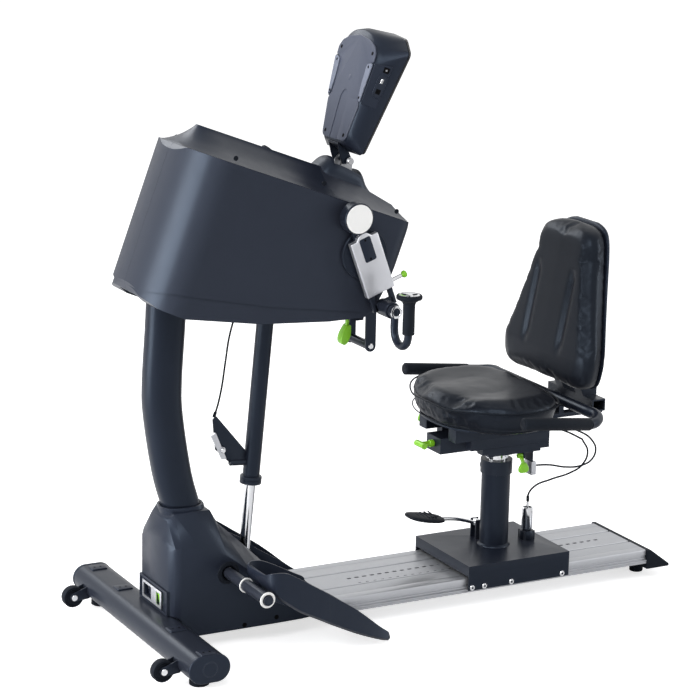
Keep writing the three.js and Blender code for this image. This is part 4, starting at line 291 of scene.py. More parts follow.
class Shape:
    """A body under construction, in working millimetres or in a group's own directions."""

    def __init__(self) -> None:
        """Start empty."""
        self.mesh = bmesh.new()

    @classmethod
    def turned(cls, profile: Sequence[Pair], steps: int = 48, closed: bool = False) -> "Shape":
        """Turn a profile about the upright line through zero.

        Args:
            profile: Radius and height of each corner.
            steps: Faces round the turn.
            closed: Whether the last corner joins the first, as on a ring.

        Returns:
            The turned body.
        """
        shape = cls()
        corners = [shape.mesh.verts.new((radius, 0, height)) for radius, height in profile]
        pairs = list(zip(corners, corners[1:])) + ([(corners[-1], corners[0])] if closed else [])
        edges = [shape.mesh.edges.new(pair) for pair in pairs]
        bmesh.ops.spin(shape.mesh, geom=corners + edges, cent=(0, 0, 0), axis=(0, 0, 1),
                       angle=2 * math.pi, steps=steps, use_merge=True)
        return shape.cleaned()

    @classmethod
    def prism(cls, outline: Sequence[Pair], low: float, high: float, plane: Plane = Plane.SIDE) -> "Shape":
        """Make an outline thick.

        Args:
            outline: Corners in the plane.
            low: Where the body starts across the plane.
            high: Where it ends.
            plane: The outline's plane.

        Returns:
            The solid body.
        """
        shape = cls()
        placed = {
            Plane.SIDE: lambda u, v: (u, low, v), Plane.END: lambda u, v: (low, u, v),
            Plane.PLAN: lambda u, v: (u, v, low),
        }[plane]
        across = {Plane.SIDE: (0, 1, 0), Plane.END: (1, 0, 0), Plane.PLAN: (0, 0, 1)}[plane]
        face = shape.mesh.faces.new([shape.mesh.verts.new(placed(u, v)) for u, v in outline])
        grown = bmesh.ops.extrude_face_region(shape.mesh, geom=[face])
        moved = [item for item in grown["geom"] if isinstance(item, bmesh.types.BMVert)]
        bmesh.ops.translate(shape.mesh, verts=moved, vec=Vector(across) * (high - low))
        return shape.cleaned()

    @classmethod
    def block(cls, low: Place, high: Place) -> "Shape":
        """Make a block between two corners.

        Args:
            low: The lowest corner.
            high: The highest corner.

        Returns:
            The block.
        """
        shape = cls()
        bmesh.ops.create_cube(shape.mesh, size=1)
        size = Vector(high) - Vector(low)
        middle = (Vector(high) + Vector(low)) / 2
        return shape.moved(Matrix.Translation(middle) @ Matrix.Diagonal((*[abs(s) for s in size], 1)))

    @classmethod
    def bridged(cls, rings: Sequence[Sequence[Place]], capped: bool = True) -> "Shape":
        """Bridge a row of rings that have the same number of corners.

        Args:
            rings: The corners of each ring in order.
            capped: Whether the first and last ring are closed by a face.

        Returns:
            The bridged body.
        """
        shape = cls()
        loops = []
        for ring in rings:
            corners = [shape.mesh.verts.new(corner) for corner in ring]
            loops.append([shape.mesh.edges.new(pair) for pair in zip(corners, corners[1:] + corners[:1])])
        for first, second in zip(loops, loops[1:]):
            bmesh.ops.bridge_loops(shape.mesh, edges=first + second)
        if capped:
            for loop in (loops[0], loops[-1]):
                bmesh.ops.contextual_create(shape.mesh, geom=loop)
        return shape.cleaned()

    @classmethod
    def tube(cls, points: Sequence[Place], radius: float, sides: int = 5, steps: int = 10) -> "Shape":
        """Run a round tube smoothly through points.

        Args:
            points: The places it passes.
            radius: The tube's radius.
            sides: Quality of its round section.
            steps: Steps between two points.

        Returns:
            The tube with closed ends.
        """
        curve = bpy.data.curves.new("run", "CURVE")
        curve.dimensions = "3D"
        curve.bevel_depth = radius
        curve.bevel_resolution = sides
        curve.use_fill_caps = True
        curve.resolution_u = steps
        spline = curve.splines.new("BEZIER")
        spline.bezier_points.add(len(points) - 1)
        for knot, point in zip(spline.bezier_points, points):
            knot.co = point
            knot.handle_left_type = knot.handle_right_type = "AUTO"
        holder = bpy.data.objects.new("run", curve)
        bpy.context.scene.collection.objects.link(holder)
        bpy.context.view_layer.update()
        flat = bpy.data.meshes.new_from_object(holder.evaluated_get(bpy.context.evaluated_depsgraph_get()))
        shape = cls()
        shape.mesh.from_mesh(flat)
        bpy.data.objects.remove(holder)
        bpy.data.curves.remove(curve)
        bpy.data.meshes.remove(flat)
        return shape.cleaned()

    @classmethod
    def rod(cls, start: Place, end: Place, radius: float, steps: int = 32, bevel: float = 0.0,
            end_radius: float | None = None) -> "Shape":
        """Make a round bar between two places.

        Args:
            start: One end.
            end: The other end.
            radius: The bar's radius.
            steps: Faces round it.
            bevel: Size of the rounding at its ends.
            end_radius: Radius at the end, where it tapers.

        Returns:
            The bar.
        """
        along = Vector(end) - Vector(start)
        last = radius if end_radius is None else end_radius
        profile = [(0, 0), (radius - bevel, 0), (radius, bevel), (last, along.length - bevel),
                   (last - bevel, along.length), (0, along.length)]
        if bevel == 0:
            profile = [(0, 0), (radius, 0), (last, along.length), (0, along.length)]
        turn = Vector((0, 0, 1)).rotation_difference(along).to_matrix().to_4x4()
        return cls.turned(profile, steps).moved(Matrix.Translation(start) @ turn)

    @classmethod
    def copied(cls, node: str) -> "Shape":
        """Copy a CAD node, merged, with its flat faces whole again.

        Args:
            node: The CAD node's name.

        Returns:
            The copy in working millimetres.
        """
        shape = cls()
        shape.mesh.from_mesh(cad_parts[node].data)
        bmesh.ops.transform(shape.mesh, matrix=TO_ROW.inverted(), verts=shape.mesh.verts)
        bmesh.ops.remove_doubles(shape.mesh, verts=shape.mesh.verts, dist=0.01)
        bmesh.ops.dissolve_limit(shape.mesh, angle_limit=math.radians(0.6), verts=shape.mesh.verts,
                                 edges=shape.mesh.edges)
        return shape

    def cleaned(self) -> "Shape":
        """Merge doubles and turn the faces outwards."""
        bmesh.ops.remove_doubles(self.mesh, verts=self.mesh.verts, dist=0.001)
        bmesh.ops.recalc_face_normals(self.mesh, faces=self.mesh.faces)
        return self

    def moved(self, matrix: Matrix) -> "Shape":
        """Move the whole body, and keep its faces outwards where the move mirrors it.

        Args:
            matrix: The move.

        Returns:
            The same body.
        """
        bmesh.ops.transform(self.mesh, matrix=matrix, verts=self.mesh.verts)
        if matrix.determinant() < 0:
            bmesh.ops.reverse_faces(self.mesh, faces=self.mesh.faces)
        return self

    def joined(self, *others: "Shape") -> "Shape":
        """Take other bodies into this one.

        Args:
            *others: The bodies to take in.

        Returns:
            This body.
        """
        for other in others:
            carrier = bpy.data.meshes.new("carrier")
            other.mesh.to_mesh(carrier)
            self.mesh.from_mesh(carrier)
            bpy.data.meshes.remove(carrier)
        return self

    def bevelled(self, width: float, segments: int = 3, limit: float = 30.0) -> "Shape":
        """Round every edge sharper than a limit.

        Args:
            width: Size of the rounding.
            segments: Faces across it.
            limit: Least angle in degrees of an edge that is rounded.

        Returns:
            The same body.
        """
        edges = [edge for edge in self.mesh.edges
                 if edge.is_manifold and edge.calc_face_angle(0) > math.radians(limit)]
        bmesh.ops.bevel(self.mesh, geom=edges, offset=width, offset_type="OFFSET", segments=segments,
                        profile=0.5, affect="EDGES", clamp_overlap=True, material=-1)
        return self

    def smoothed(self, cuts: int, times: int, factor: float = 0.5) -> "Shape":
        """Divide the faces and ease them into each other.

        Args:
            cuts: Cuts along each edge.
            times: Rounds of smoothing.
            factor: Share of the way that a point moves each round.

        Returns:
            The same body.
        """
        bmesh.ops.subdivide_edges(self.mesh, edges=self.mesh.edges, cuts=cuts, use_grid_fill=True)
        for _ in range(times):
            bmesh.ops.smooth_vert(self.mesh, verts=self.mesh.verts, factor=factor, use_axis_x=True,
                                  use_axis_y=True, use_axis_z=True)
        return self

    def piece(self, name: str, body: str | None, finish: Finish, group: Matrix = HERE,
              instead_of: Sequence[str] = (), sharp: float = KEPT_SHARP,
              rounding: float = 0.0) -> bpy.types.Object:
        """Finish the body as a piece of the object.

        Args:
            name: The piece's name.
            body: The CAD body that it rides on, or none, where it is fixed to no body.
            finish: Its finish.
            group: Where its own directions lie on the machine.
            instead_of: CAD nodes that it stands for.
            sharp: Edges above this many degrees stay sharp in the shading.
            rounding: Width of a Bevel modifier, or zero for none.

        Returns:
            The piece.
        """
        self.moved(TO_ROW @ group)
        data = bpy.data.meshes.new(name)
        self.mesh.to_mesh(data)
        self.mesh.free()
        for polygon in data.polygons:
            polygon.use_smooth = True
        data.set_sharp_from_angle(angle=math.radians(sharp))
        data.materials.append(finish.material())
        made = bpy.data.objects.new(name, data)
        bpy.context.scene.collection.objects.link(made)
        if rounding > 0:
            soften = made.modifiers.new("rounding", "BEVEL")
            soften.width = rounding * METRE
            soften.segments = 2
            soften.limit_method = "ANGLE"
            soften.angle_limit = math.radians(sharp)
            soften.use_clamp_overlap = True
            soften.harden_normals = True
        if body is not None:
            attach(made, body)
        if instead_of:
            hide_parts(*instead_of)
        LOG.info("%s on %s", name, body)
        return made


def across(x: float, z: float) -> Matrix:
    """Turn an upright turned body so that it lies across the machine, its height along +Y."""
    return Matrix.Translation((x, 0, z)) @ Matrix.Rotation(-math.pi / 2, 4, "X")


def mirrored(side: Side) -> Matrix:
    """Flip a body drawn for the right-hand side to the given side."""
    return Matrix.Diagonal((1, side.value, 1, 1))


def rounded(half_u: float, half_v: float, radius: float, u: float = 0.0, v: float = 0.0,
            steps: int = 6) -> list[Pair]:
    """List the corners of a rounded rectangle.

    Args:
        half_u: Half its width.
        half_v: Half its height.
        radius: Radius of its corners.
        u: Its middle.
        v: Its middle.
        steps: Steps round each corner.

    Returns:
        The corners in order.
    """
    points = []
    for quarter, (su, sv) in enumerate(((1, 1), (-1, 1), (-1, -1), (1, -1))):
        for i in range(steps + 1):
            turn = math.pi / 2 * (quarter + i / steps)
            points.append((u + su * (half_u - radius) + radius * math.cos(turn),
                           v + sv * (half_v - radius) + radius * math.sin(turn)))
    return points


def superoval(half_u: float, half_v: float, power: float, count: int, u: float = 0.0,
              v: float = 0.0) -> list[Pair]:
    """List the corners of a softened rectangle.

    Args:
        half_u: Half its width.
        half_v: Half its height.
        power: 2 for an oval, more for a squarer form.
        count: Number of corners.
        u: Its middle.
        v: Its middle.

    Returns:
        The corners in order.
    """
    points = []
    for i in range(count):
        c, s = math.cos(2 * math.pi * i / count), math.sin(2 * math.pi * i / count)
        points.append((u + half_u * math.copysign(abs(c) ** (2 / power), c),
                       v + half_v * math.copysign(abs(s) ** (2 / power), s)))
    return points


def smooth_rows(rows: Sequence[Sequence[float]], count: int) -> list[list[float]]:
    """Read a table of sizes at even steps along a smooth curve through its rows.

    Args:
        rows: The rows, each with its place first.
        count: Number of rows to give.

    Returns:
        The rows along the curve.
    """
    given = []
    for i in range(count):
        place = i / (count - 1) * (len(rows) - 1)
        k = min(int(place), len(rows) - 2)
        t = place - k
        a, b, c, d = (rows[max(0, min(len(rows) - 1, k + step))] for step in (-1, 0, 1, 2))
        given.append([0.5 * (2 * q + (r - p) * t + (2 * p - 5 * q + 4 * r - s) * t * t
                             + (3 * q - p - 3 * r + s) * t ** 3) for p, q, r, s in zip(a, b, c, d)])
    return given


def eased(corners: Sequence[Pair], reach: float, steps: int = 6) -> list[Pair]:
    """Round the corners of an outline.

    Args:
        corners: The outline's corners in order.
        reach: How far from each corner the rounding starts, where its sides are long enough.
        steps: Steps round each corner.

    Returns:
        The rounded outline.
    """
    points = []
    for k, corner in enumerate(corners):
        here = Vector(corner)
        before, after = Vector(corners[k - 1]) - here, Vector(corners[(k + 1) % len(corners)]) - here
        start = here + before * min(0.49, reach / before.length)
        end = here + after * min(0.49, reach / after.length)
        for i in range(steps + 1):
            t = i / steps
            points.append(tuple(start * (1 - t) ** 2 + here * 2 * t * (1 - t) + end * t ** 2))
    return points


def held(shape: Shape) -> bpy.types.Object:
    """Put a body into the scene for a Boolean step; the body is used up."""
    data = bpy.data.meshes.new("work")
    shape.mesh.to_mesh(data)
    shape.mesh.free()
    holder = bpy.data.objects.new("work", data)
    bpy.context.scene.collection.objects.link(holder)
    return holder


def dropped(holder: bpy.types.Object) -> None:
    """Take a held body out of the scene again."""
    data = holder.data
    bpy.data.objects.remove(holder)
    bpy.data.meshes.remove(data)


def combined(target: bpy.types.Object, tool: bpy.types.Object, operation: str) -> bpy.types.Mesh:
    """Read the mesh that one object makes with another.

    Args:
        target: The object worked on.
        tool: The other object.
        operation: UNION, DIFFERENCE or INTERSECT.

    Returns:
        The new mesh.
    """
    step = target.modifiers.new("work", "BOOLEAN")
    step.object = tool
    step.operation = operation
    step.solver = "MANIFOLD"  # the exact solver gives open shells on some runs
    bpy.context.view_layer.update()
    ready = bpy.data.meshes.new_from_object(target.evaluated_get(bpy.context.evaluated_depsgraph_get()))
    target.modifiers.remove(step)
    return ready


def worked(first: Shape, second: Shape, operation: str) -> Shape:
    """Join, cut or meet two solid bodies.

    Args:
        first: The body worked on.
        second: The other body; it is used up.
        operation: UNION, DIFFERENCE or INTERSECT.

    Returns:
        The new body.
    """
    holders = [held(shape) for shape in (first, second)]
    ready = combined(*holders, operation)
    result = Shape()
    result.mesh.from_mesh(ready)
    bpy.data.meshes.remove(ready)
    for holder in holders:
        dropped(holder)
    return result


def hollowed(target: bpy.types.Object, cutter: Shape) -> None:
    """Cut a body out of a finished piece and drop the cutter.

    Args:
        target: The piece.
        cutter: The body to cut away, in working millimetres.
    """
    tool = held(cutter.moved(TO_ROW))
    ready = combined(target, tool, "DIFFERENCE")
    ready.name = target.data.name + "_cut"
    target.data = ready
    for polygon in ready.polygons:
        polygon.use_smooth = True
    ready.set_sharp_from_angle(angle=math.radians(KEPT_SHARP))
    dropped(tool)


@dataclass
class Studio:
    """Camera at the photograph's angle, soft lamps and a pale floor."""

    azimuth: float = math.radians(28.41)
    elevation: float = math.radians(13.94)
    roll: float = math.radians(1.30)
    eye: Place = (-2.8943, -5.116, 2.1248)
    lens: float = 124.6
    floor_span: float = 90.0
    floor_colour: Place = (0.86, 0.86, 0.87)
    floor_roughness: float = 0.9
    floor_shine: float = 0.1
    floor_glow: float = 0.66
    ambient: float = 0.5
    aim: Place = (0, 0, 0.7)
    lamps: tuple[tuple[str, Place, float, float, float], ...] = (
        ("key", (-2.6, -3.4, 4.4), 96.0, 2.6, 2.0), ("left_strip", (-4.3, 0.2, 1.5), 250.0, 2.8, 2.8),
        ("right_strip", (3.8, -2.4, 1.9), 52.0, 0.9, 2.6), ("rear", (-1.4, 3.8, 3.4), 60.0, 2.4, 1.8),
    )

    def build(self) -> None:
        """Make the camera, the lamps, the world and the floor."""
        self._camera()
        self._lamps()
        self._world()
        self._floor()

    def _camera(self) -> None:
        """Place the camera."""
        c, s = math.cos(self.azimuth), math.sin(self.azimuth)
        level = math.cos(self.elevation)
        ahead = Vector((s * level, c * level, -math.sin(self.elevation)))
        flat = Vector((c, -s, 0))
        rise = flat.cross(ahead)
        right = flat * math.cos(self.roll) + rise * math.sin(self.roll)
        turn = Matrix((right, right.cross(ahead), -ahead)).transposed()
        data = bpy.data.cameras.new("camera")
        data.lens = self.lens
        data.sensor_width = 36.0
        camera = bpy.data.objects.new("camera", data)
        camera.matrix_world = Matrix.Translation(self.eye) @ turn.to_4x4()
        bpy.context.scene.collection.objects.link(camera)
        bpy.context.scene.camera = camera

    def _lamps(self) -> None:
        """Place the wide soft key and the upright strips."""
        for name, place, energy, width, height in self.lamps:
            data = bpy.data.lights.new(name, "AREA")
            data.shape = "RECTANGLE"
            data.energy = energy
            data.size = width
            data.size_y = height
            lamp = bpy.data.objects.new(name, data)
            aim = Vector(self.aim) - Vector(place)
            lamp.matrix_world = Matrix.Translation(place) @ aim.to_track_quat("-Z", "Y").to_matrix().to_4x4()
            bpy.context.scene.collection.objects.link(lamp)

    def _world(self) -> None:
        """Show white behind and in reflections, and light evenly at a plain level."""
        world = bpy.data.worlds.new("studio")
        world.use_nodes = True
        tree = world.node_tree
        sky = tree.nodes["Background"]
        sky.inputs["Color"].default_value = (1, 1, 1, 1)
        path = tree.nodes.new("ShaderNodeLightPath")
        seen = path.outputs["Is Camera Ray"]
        for kind in ("Is Glossy Ray", "Is Transmission Ray"):
            either = tree.nodes.new("ShaderNodeMath")
            either.operation = "MAXIMUM"
            tree.links.new(seen, either.inputs[0])
            tree.links.new(path.outputs[kind], either.inputs[1])
            seen = either.outputs["Value"]
        level = tree.nodes.new("ShaderNodeMapRange")
        level.inputs["To Min"].default_value = self.ambient
        level.inputs["To Max"].default_value = 1.0
        tree.links.new(seen, level.inputs["Value"])
        tree.links.new(level.outputs["Result"], sky.inputs["Strength"])
        bpy.context.scene.world = world

    def _floor(self) -> None:
        """Lay the pale floor."""
        shape = Shape()
        bmesh.ops.create_grid(shape.mesh, x_segments=1, y_segments=1, size=self.floor_span / 2)
        data = bpy.data.meshes.new("floor")
        shape.mesh.to_mesh(data)
        shape.mesh.free()
        made = bpy.data.materials.new("pale_floor")
        made.use_nodes = True
        tree = made.node_tree
        shader = tree.nodes["Principled BSDF"]
        shader.inputs["Base Color"].default_value = (*self.floor_colour, 1)
        shader.inputs["Roughness"].default_value = self.floor_roughness
        shader.inputs["Specular IOR Level"].default_value = self.floor_shine
        glow = tree.nodes.new("ShaderNodeEmission")
        glow.inputs["Color"].default_value = (1, 1, 1, 1)
        path = tree.nodes.new("ShaderNodeLightPath")
        share = tree.nodes.new("ShaderNodeMath")
        share.operation = "MULTIPLY"
        share.inputs[1].default_value = self.floor_glow
        tree.links.new(path.outputs["Is Camera Ray"], share.inputs[0])
        tree.links.new(share.outputs["Value"], glow.inputs["Strength"])
        both = tree.nodes.new("ShaderNodeAddShader")
        tree.links.new(shader.outputs["BSDF"], both.inputs[0])
        tree.links.new(glow.outputs["Emission"], both.inputs[1])
        tree.links.new(both.outputs["Shader"], tree.nodes["Material Output"].inputs["Surface"])
        data.materials.append(made)
        floor = bpy.data.objects.new("floor", data)
        bpy.context.scene.collection.objects.link(floor)


@dataclass
class Cables:
    """The three control cables with their end sleeves."""

    radius: float = 2.4
    sleeve: float = 4.0
    sleeve_length: float = 14.0
    strut_run: tuple[Place, ...] = (
        (172, 0, 549.5), (179, 0, 568), (191, 0, 615), (202, 0, 687), (212, 0, 749), (228, 0, 800),
        (250, 0, 846), (250, 0, 853.5),
    )
    lock_run: tuple[Place, ...] = (
        (1050, -20, 468.6), (1050, -20, 458), (1110, -20, 430), (1184, -20, 402), (1231, -20, 377),
        (1250, -20, 339), (1235, -18, 305), (1205, -14, 288), (1150, -8, 275), (1098, -2, 258),
        (1082, 0, 236), (1082, 0, 220.3),
    )
    lever_run: tuple[Place, ...] = (
        (1050, -45, 468.6), (1050, -45, 458), (1120, -45, 437), (1200, -45, 410), (1246, -45, 378),
        (1258, -45, 350), (1246, -45, 326), (1215, -45, 314), (1170, -45, 315), (1112, -45, 328),
        (1064, -45, 332), (1055.4, -45, 332),
    )

    def build(self) -> None:
        """Make the cables; those at the seat are fixed to no body."""
        strut = Shape.tube(self.strut_run, self.radius).joined(self._sleeve(*self.strut_run[:2]))
        strut.piece("strut_cable", "strut_upper", RUBBER, instead_of=["cable_strut"])
        lever = Shape.tube(self.lever_run, self.radius).joined(self._sleeve(*self.lever_run[:-3:-1]))
        run = lever.piece("lever_cable", None, RUBBER, instead_of=["cable_lever"])
        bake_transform(run)
        upper, middle, lower = self.lock_run[:5], self.lock_run[4:9], self.lock_run[8:]
        top = Shape.tube(upper, self.radius).piece("lock_cable_top", None, RUBBER, instead_of=["cable_lock"])
        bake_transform(top)
        half = Shape.tube(middle, self.radius).piece("lock_cable_middle", None, RUBBER)
        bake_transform(half)
        end = Shape.tube(lower, self.radius).joined(self._sleeve(lower[-1], lower[-2]))
        foot = end.piece("lock_cable_foot", None, RUBBER)
        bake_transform(foot)

    def _sleeve(self, start: Place, towards: Place) -> Shape:
        """Make the crimped sleeve at a cable's end."""
        along = (Vector(towards) - Vector(start)).normalized()
        end = Vector(start) + along * self.sleeve_length
        return Shape.rod(start, tuple(end), self.sleeve, 16, 0.8)

    @staticmethod
    def _row(point: Place) -> Place:
        """Give a working place in the row's metres."""
        return tuple(TO_ROW @ Vector(point))


@dataclass
class FootBar:
    """Oval cross bar with caps, feet, clip pads and transport wheels."""

    length: float = 720
    width: float = 103
    height: float = 66
    axis_z: float = 57
    cap: float = 10
    pad: Place = (22, 34, 6)
    pad_ys: tuple[float, ...] = (-339, -167, 155, 320)
    wheel: Place = (-85, 278, 40)
    wheel_radius: float = 27
    wheel_width: float = 21
    foot_y: float = 300
    cutout_steps: int = 22

    def section(self, grow: float = 0.0) -> list[Pair]:
        """List the bar's oval outline in X and Z."""
        radius = self.height / 2 + grow
        flat = (self.width - self.height) / 2
        turns = [math.pi * (i / self.cutout_steps) - math.pi / 2 for i in range(self.cutout_steps + 1)]
        right = [(flat + radius * math.cos(turn), self.axis_z + radius * math.sin(turn)) for turn in turns]
        return right + [(-x, 2 * self.axis_z - z) for x, z in right]

    def build(self) -> None:
        """Make the bar and everything on it."""
        half = self.length / 2
        inner = half - self.cap
        bar = Shape.prism(self.section(), -inner, inner)
        bar.joined(*[self._fork(side) for side in Side])
        bar.piece("cross_bar", "base", POWDER, instead_of=["foot_bar"])
        for side in Side:
            cap = Shape.prism(self.section(1.0), inner + 0.3, half).bevelled(2.5, 3, 60)
            ring = Shape.turned([(16, 0), (17, 0.8), (19, 0.8), (20, 0)], 40, True)
            cap.joined(ring.moved(across(0, self.axis_z) @ Matrix.Translation((0, 0, half - 0.2))))
            cap.piece(f"bar_cap_{side.word}", "base", CASING, mirrored(side), [f"foot_bar_cap_{side.word}"])
            foot = Shape.turned([(0, 0), (21, 0), (24, 2), (24, 11), (21, 14), (19, 24), (0, 24)], 40)
            foot.moved(Matrix.Translation((0, side.value * self.foot_y, 0)))
            foot.piece(f"foot_{side.word}", "base", RUBBER, instead_of=[f"rubber_foot_{side.word}"])
            self._wheel(side)
        for number, y in enumerate(self.pad_ys):
            self._pad(number, y)

    def _fork(self, side: Side) -> Shape:
        """Make the two plates and the axle that hold a wheel."""
        x, y, z = self.wheel
        plates = Shape()
        reach = self.wheel_width / 2 + 0.3
        for inside in (y - reach - 4, y + reach):
            outline = [(-44, 67), (-44, 33), (x + 2, z - 11), (x - 9, z - 5), (x - 11, z + 3),
                       (x - 4, z + 11)]
            plates.joined(Shape.prism(outline, inside, inside + 4).bevelled(1.2, 2))
        axle = Shape.turned([(0, y - reach - 6), (7, y - reach - 6), (8, y - reach - 5), (8, y - reach - 4),
                             (5, y - reach - 4), (5, y + reach + 4), (8, y + reach + 4), (8, y + reach + 5),
                             (7, y + reach + 6), (0, y + reach + 6)], 24)
        axle.moved(mirrored(side) @ across(x, z)).piece(f"wheel_axle_{side.word}", "base", CHROME)
        return plates.moved(mirrored(side))

    def _wheel(self, side: Side) -> None:
        """Make one rubber-tyred wheel."""
        x, y, z = self.wheel
        half, radius = self.wheel_width / 2, self.wheel_radius
        profile = [(5.3, -half), (9, -half), (11, -half + 3), (radius - 7, -half + 3), (radius - 5, -half),
                   (radius - 1.5, -half), (radius, -half + 2.5), (radius, half - 2.5), (radius - 1.5, half),
                   (radius - 5, half), (radius - 7, half - 3), (11, half - 3), (9, half), (5.3, half)]
        place = across(x, z) @ Matrix.Translation((0, 0, side.value * y))
        wheel = Shape.turned(profile, 48, True).moved(place)
        wheel.piece(f"wheel_{side.word}", f"wheel_{side.word}", RUBBER,
                    instead_of=[f"transport_wheel_{side.word}"])

    def _pad(self, number: int, y: float) -> None:
        """Make one clip pad with its two holes."""
        depth, width, rise = self.pad
        top = self.axis_z + self.height / 2
        outline = [(-depth, top - 2), (depth, top - 2), (depth - 3, top + rise / 2),
                   (-depth + 3, top + rise / 2)]
        pad = Shape.prism(outline, y - width / 2, y + width / 2).bevelled(1.0, 2)
        pad.piece(f"bar_pad_{number}", "base", CASING)
        # Dark plugs of painted shade where the pad's two holes are.
        holes = Shape()
        for x in (-8, 8):
            holes.joined(Shape.rod((x, y, top + 1), (x, y, top + rise / 2 + 0.15), 3.0, 16))
        holes.piece(f"bar_pad_holes_{number}", "base", HOLE)


@dataclass
class Column:
    """The bent oval tube between the base and the head."""

    half_x: float = 48
    half_y: float = 38
    bow: tuple[Pair, ...] = ((96, 163), (230, 117), (334, 87), (426, 61), (568, 38), (655, 35), (812, 44),
                             (1002, 50))
    corners: int = 48
    levels: int = 36

    def ring(self, z: float, x: float, grow: float = 0.0) -> list[Place]:
        """List the corners of the tube at one level."""
        return [(u, v, z) for u, v in superoval(self.half_x + grow, self.half_y + grow, 2.4, self.corners,
                                                x, 0)]

    def build(self) -> None:
        """Make the tube."""
        rows = smooth_rows(self.bow, self.levels)
        Shape.bridged([self.ring(z, x) for z, x in rows]).piece("column_tube", "base", POWDER,
                                                               instead_of=["column"], sharp=50)


@dataclass
class BaseHousing:
    """Moulded shroud over the base frame, its collar, mains inlet and switch."""

    screws: tuple[Place, ...] = ((213, -100, 45), (300, -100, 52))
    shaft: Pair = (168, 186)
    side: float = 99.6
    plate: tuple[Place, Place] = ((11.2, -52, 99), (13.6, 60, 143))
    socket: tuple[Place, Place] = ((5, 7, 105), (30, 53, 137))
    switch: tuple[Place, Place] = ((5, -44, 105.5), (30, -24, 136.5))
    pins: tuple[Pair, ...] = ((38, 125), (22, 125), (30, 116))

    def build(self) -> None:
        """Make the housing and what is set in it."""
        shell = Shape.copied("base_shroud")
        shell.piece("base_housing", "base", CASING, instead_of=["base_shroud"], rounding=5.0, sharp=48)
        for side in Side:
            ring = Shape.turned([(17.5, 0), (17.5, 3), (20, 4.5), (27, 3.5), (29, 0)], 48, True)
            ring.moved(across(*self.shaft) @ Matrix.Translation((0, 0, self.side)))
            ring.piece(f"shaft_grommet_{side.word}", "base", RUBBER, mirrored(side))
        plate = Shape.block(*self.plate).bevelled(0.8, 2)
        for hole in (self.socket, self.switch):
            plate = worked(plate, Shape.block(*hole), "DIFFERENCE")
        plate.piece("inlet_plate", "base", SILVER, sharp=30)
        inlet = Shape.copied("power_inlet")
        inlet.piece("inlet_housing", "base", CASING, instead_of=["power_inlet"], rounding=1.2)
        Shape.copied("power_switch").piece("switch_rocker", "switch", GREEN, instead_of=["power_switch"],
                                           rounding=0.8)
        pins = Shape()
        for y, z in self.pins:
            pins.joined(Shape.block((19, y - 1, z - 3), (25.2, y + 1, z + 3)))
        pins.piece("inlet_pins", "base", CHROME)
        # Thin dark discs of painted shade where the screws sit in their recesses.
        for number, place in enumerate(self.screws):
            socket = Shape.rod(place, (place[0], place[1] - 0.4, place[2]), 6.0, 24)
            socket.piece(f"housing_screw_{number}", "base", HOLE)


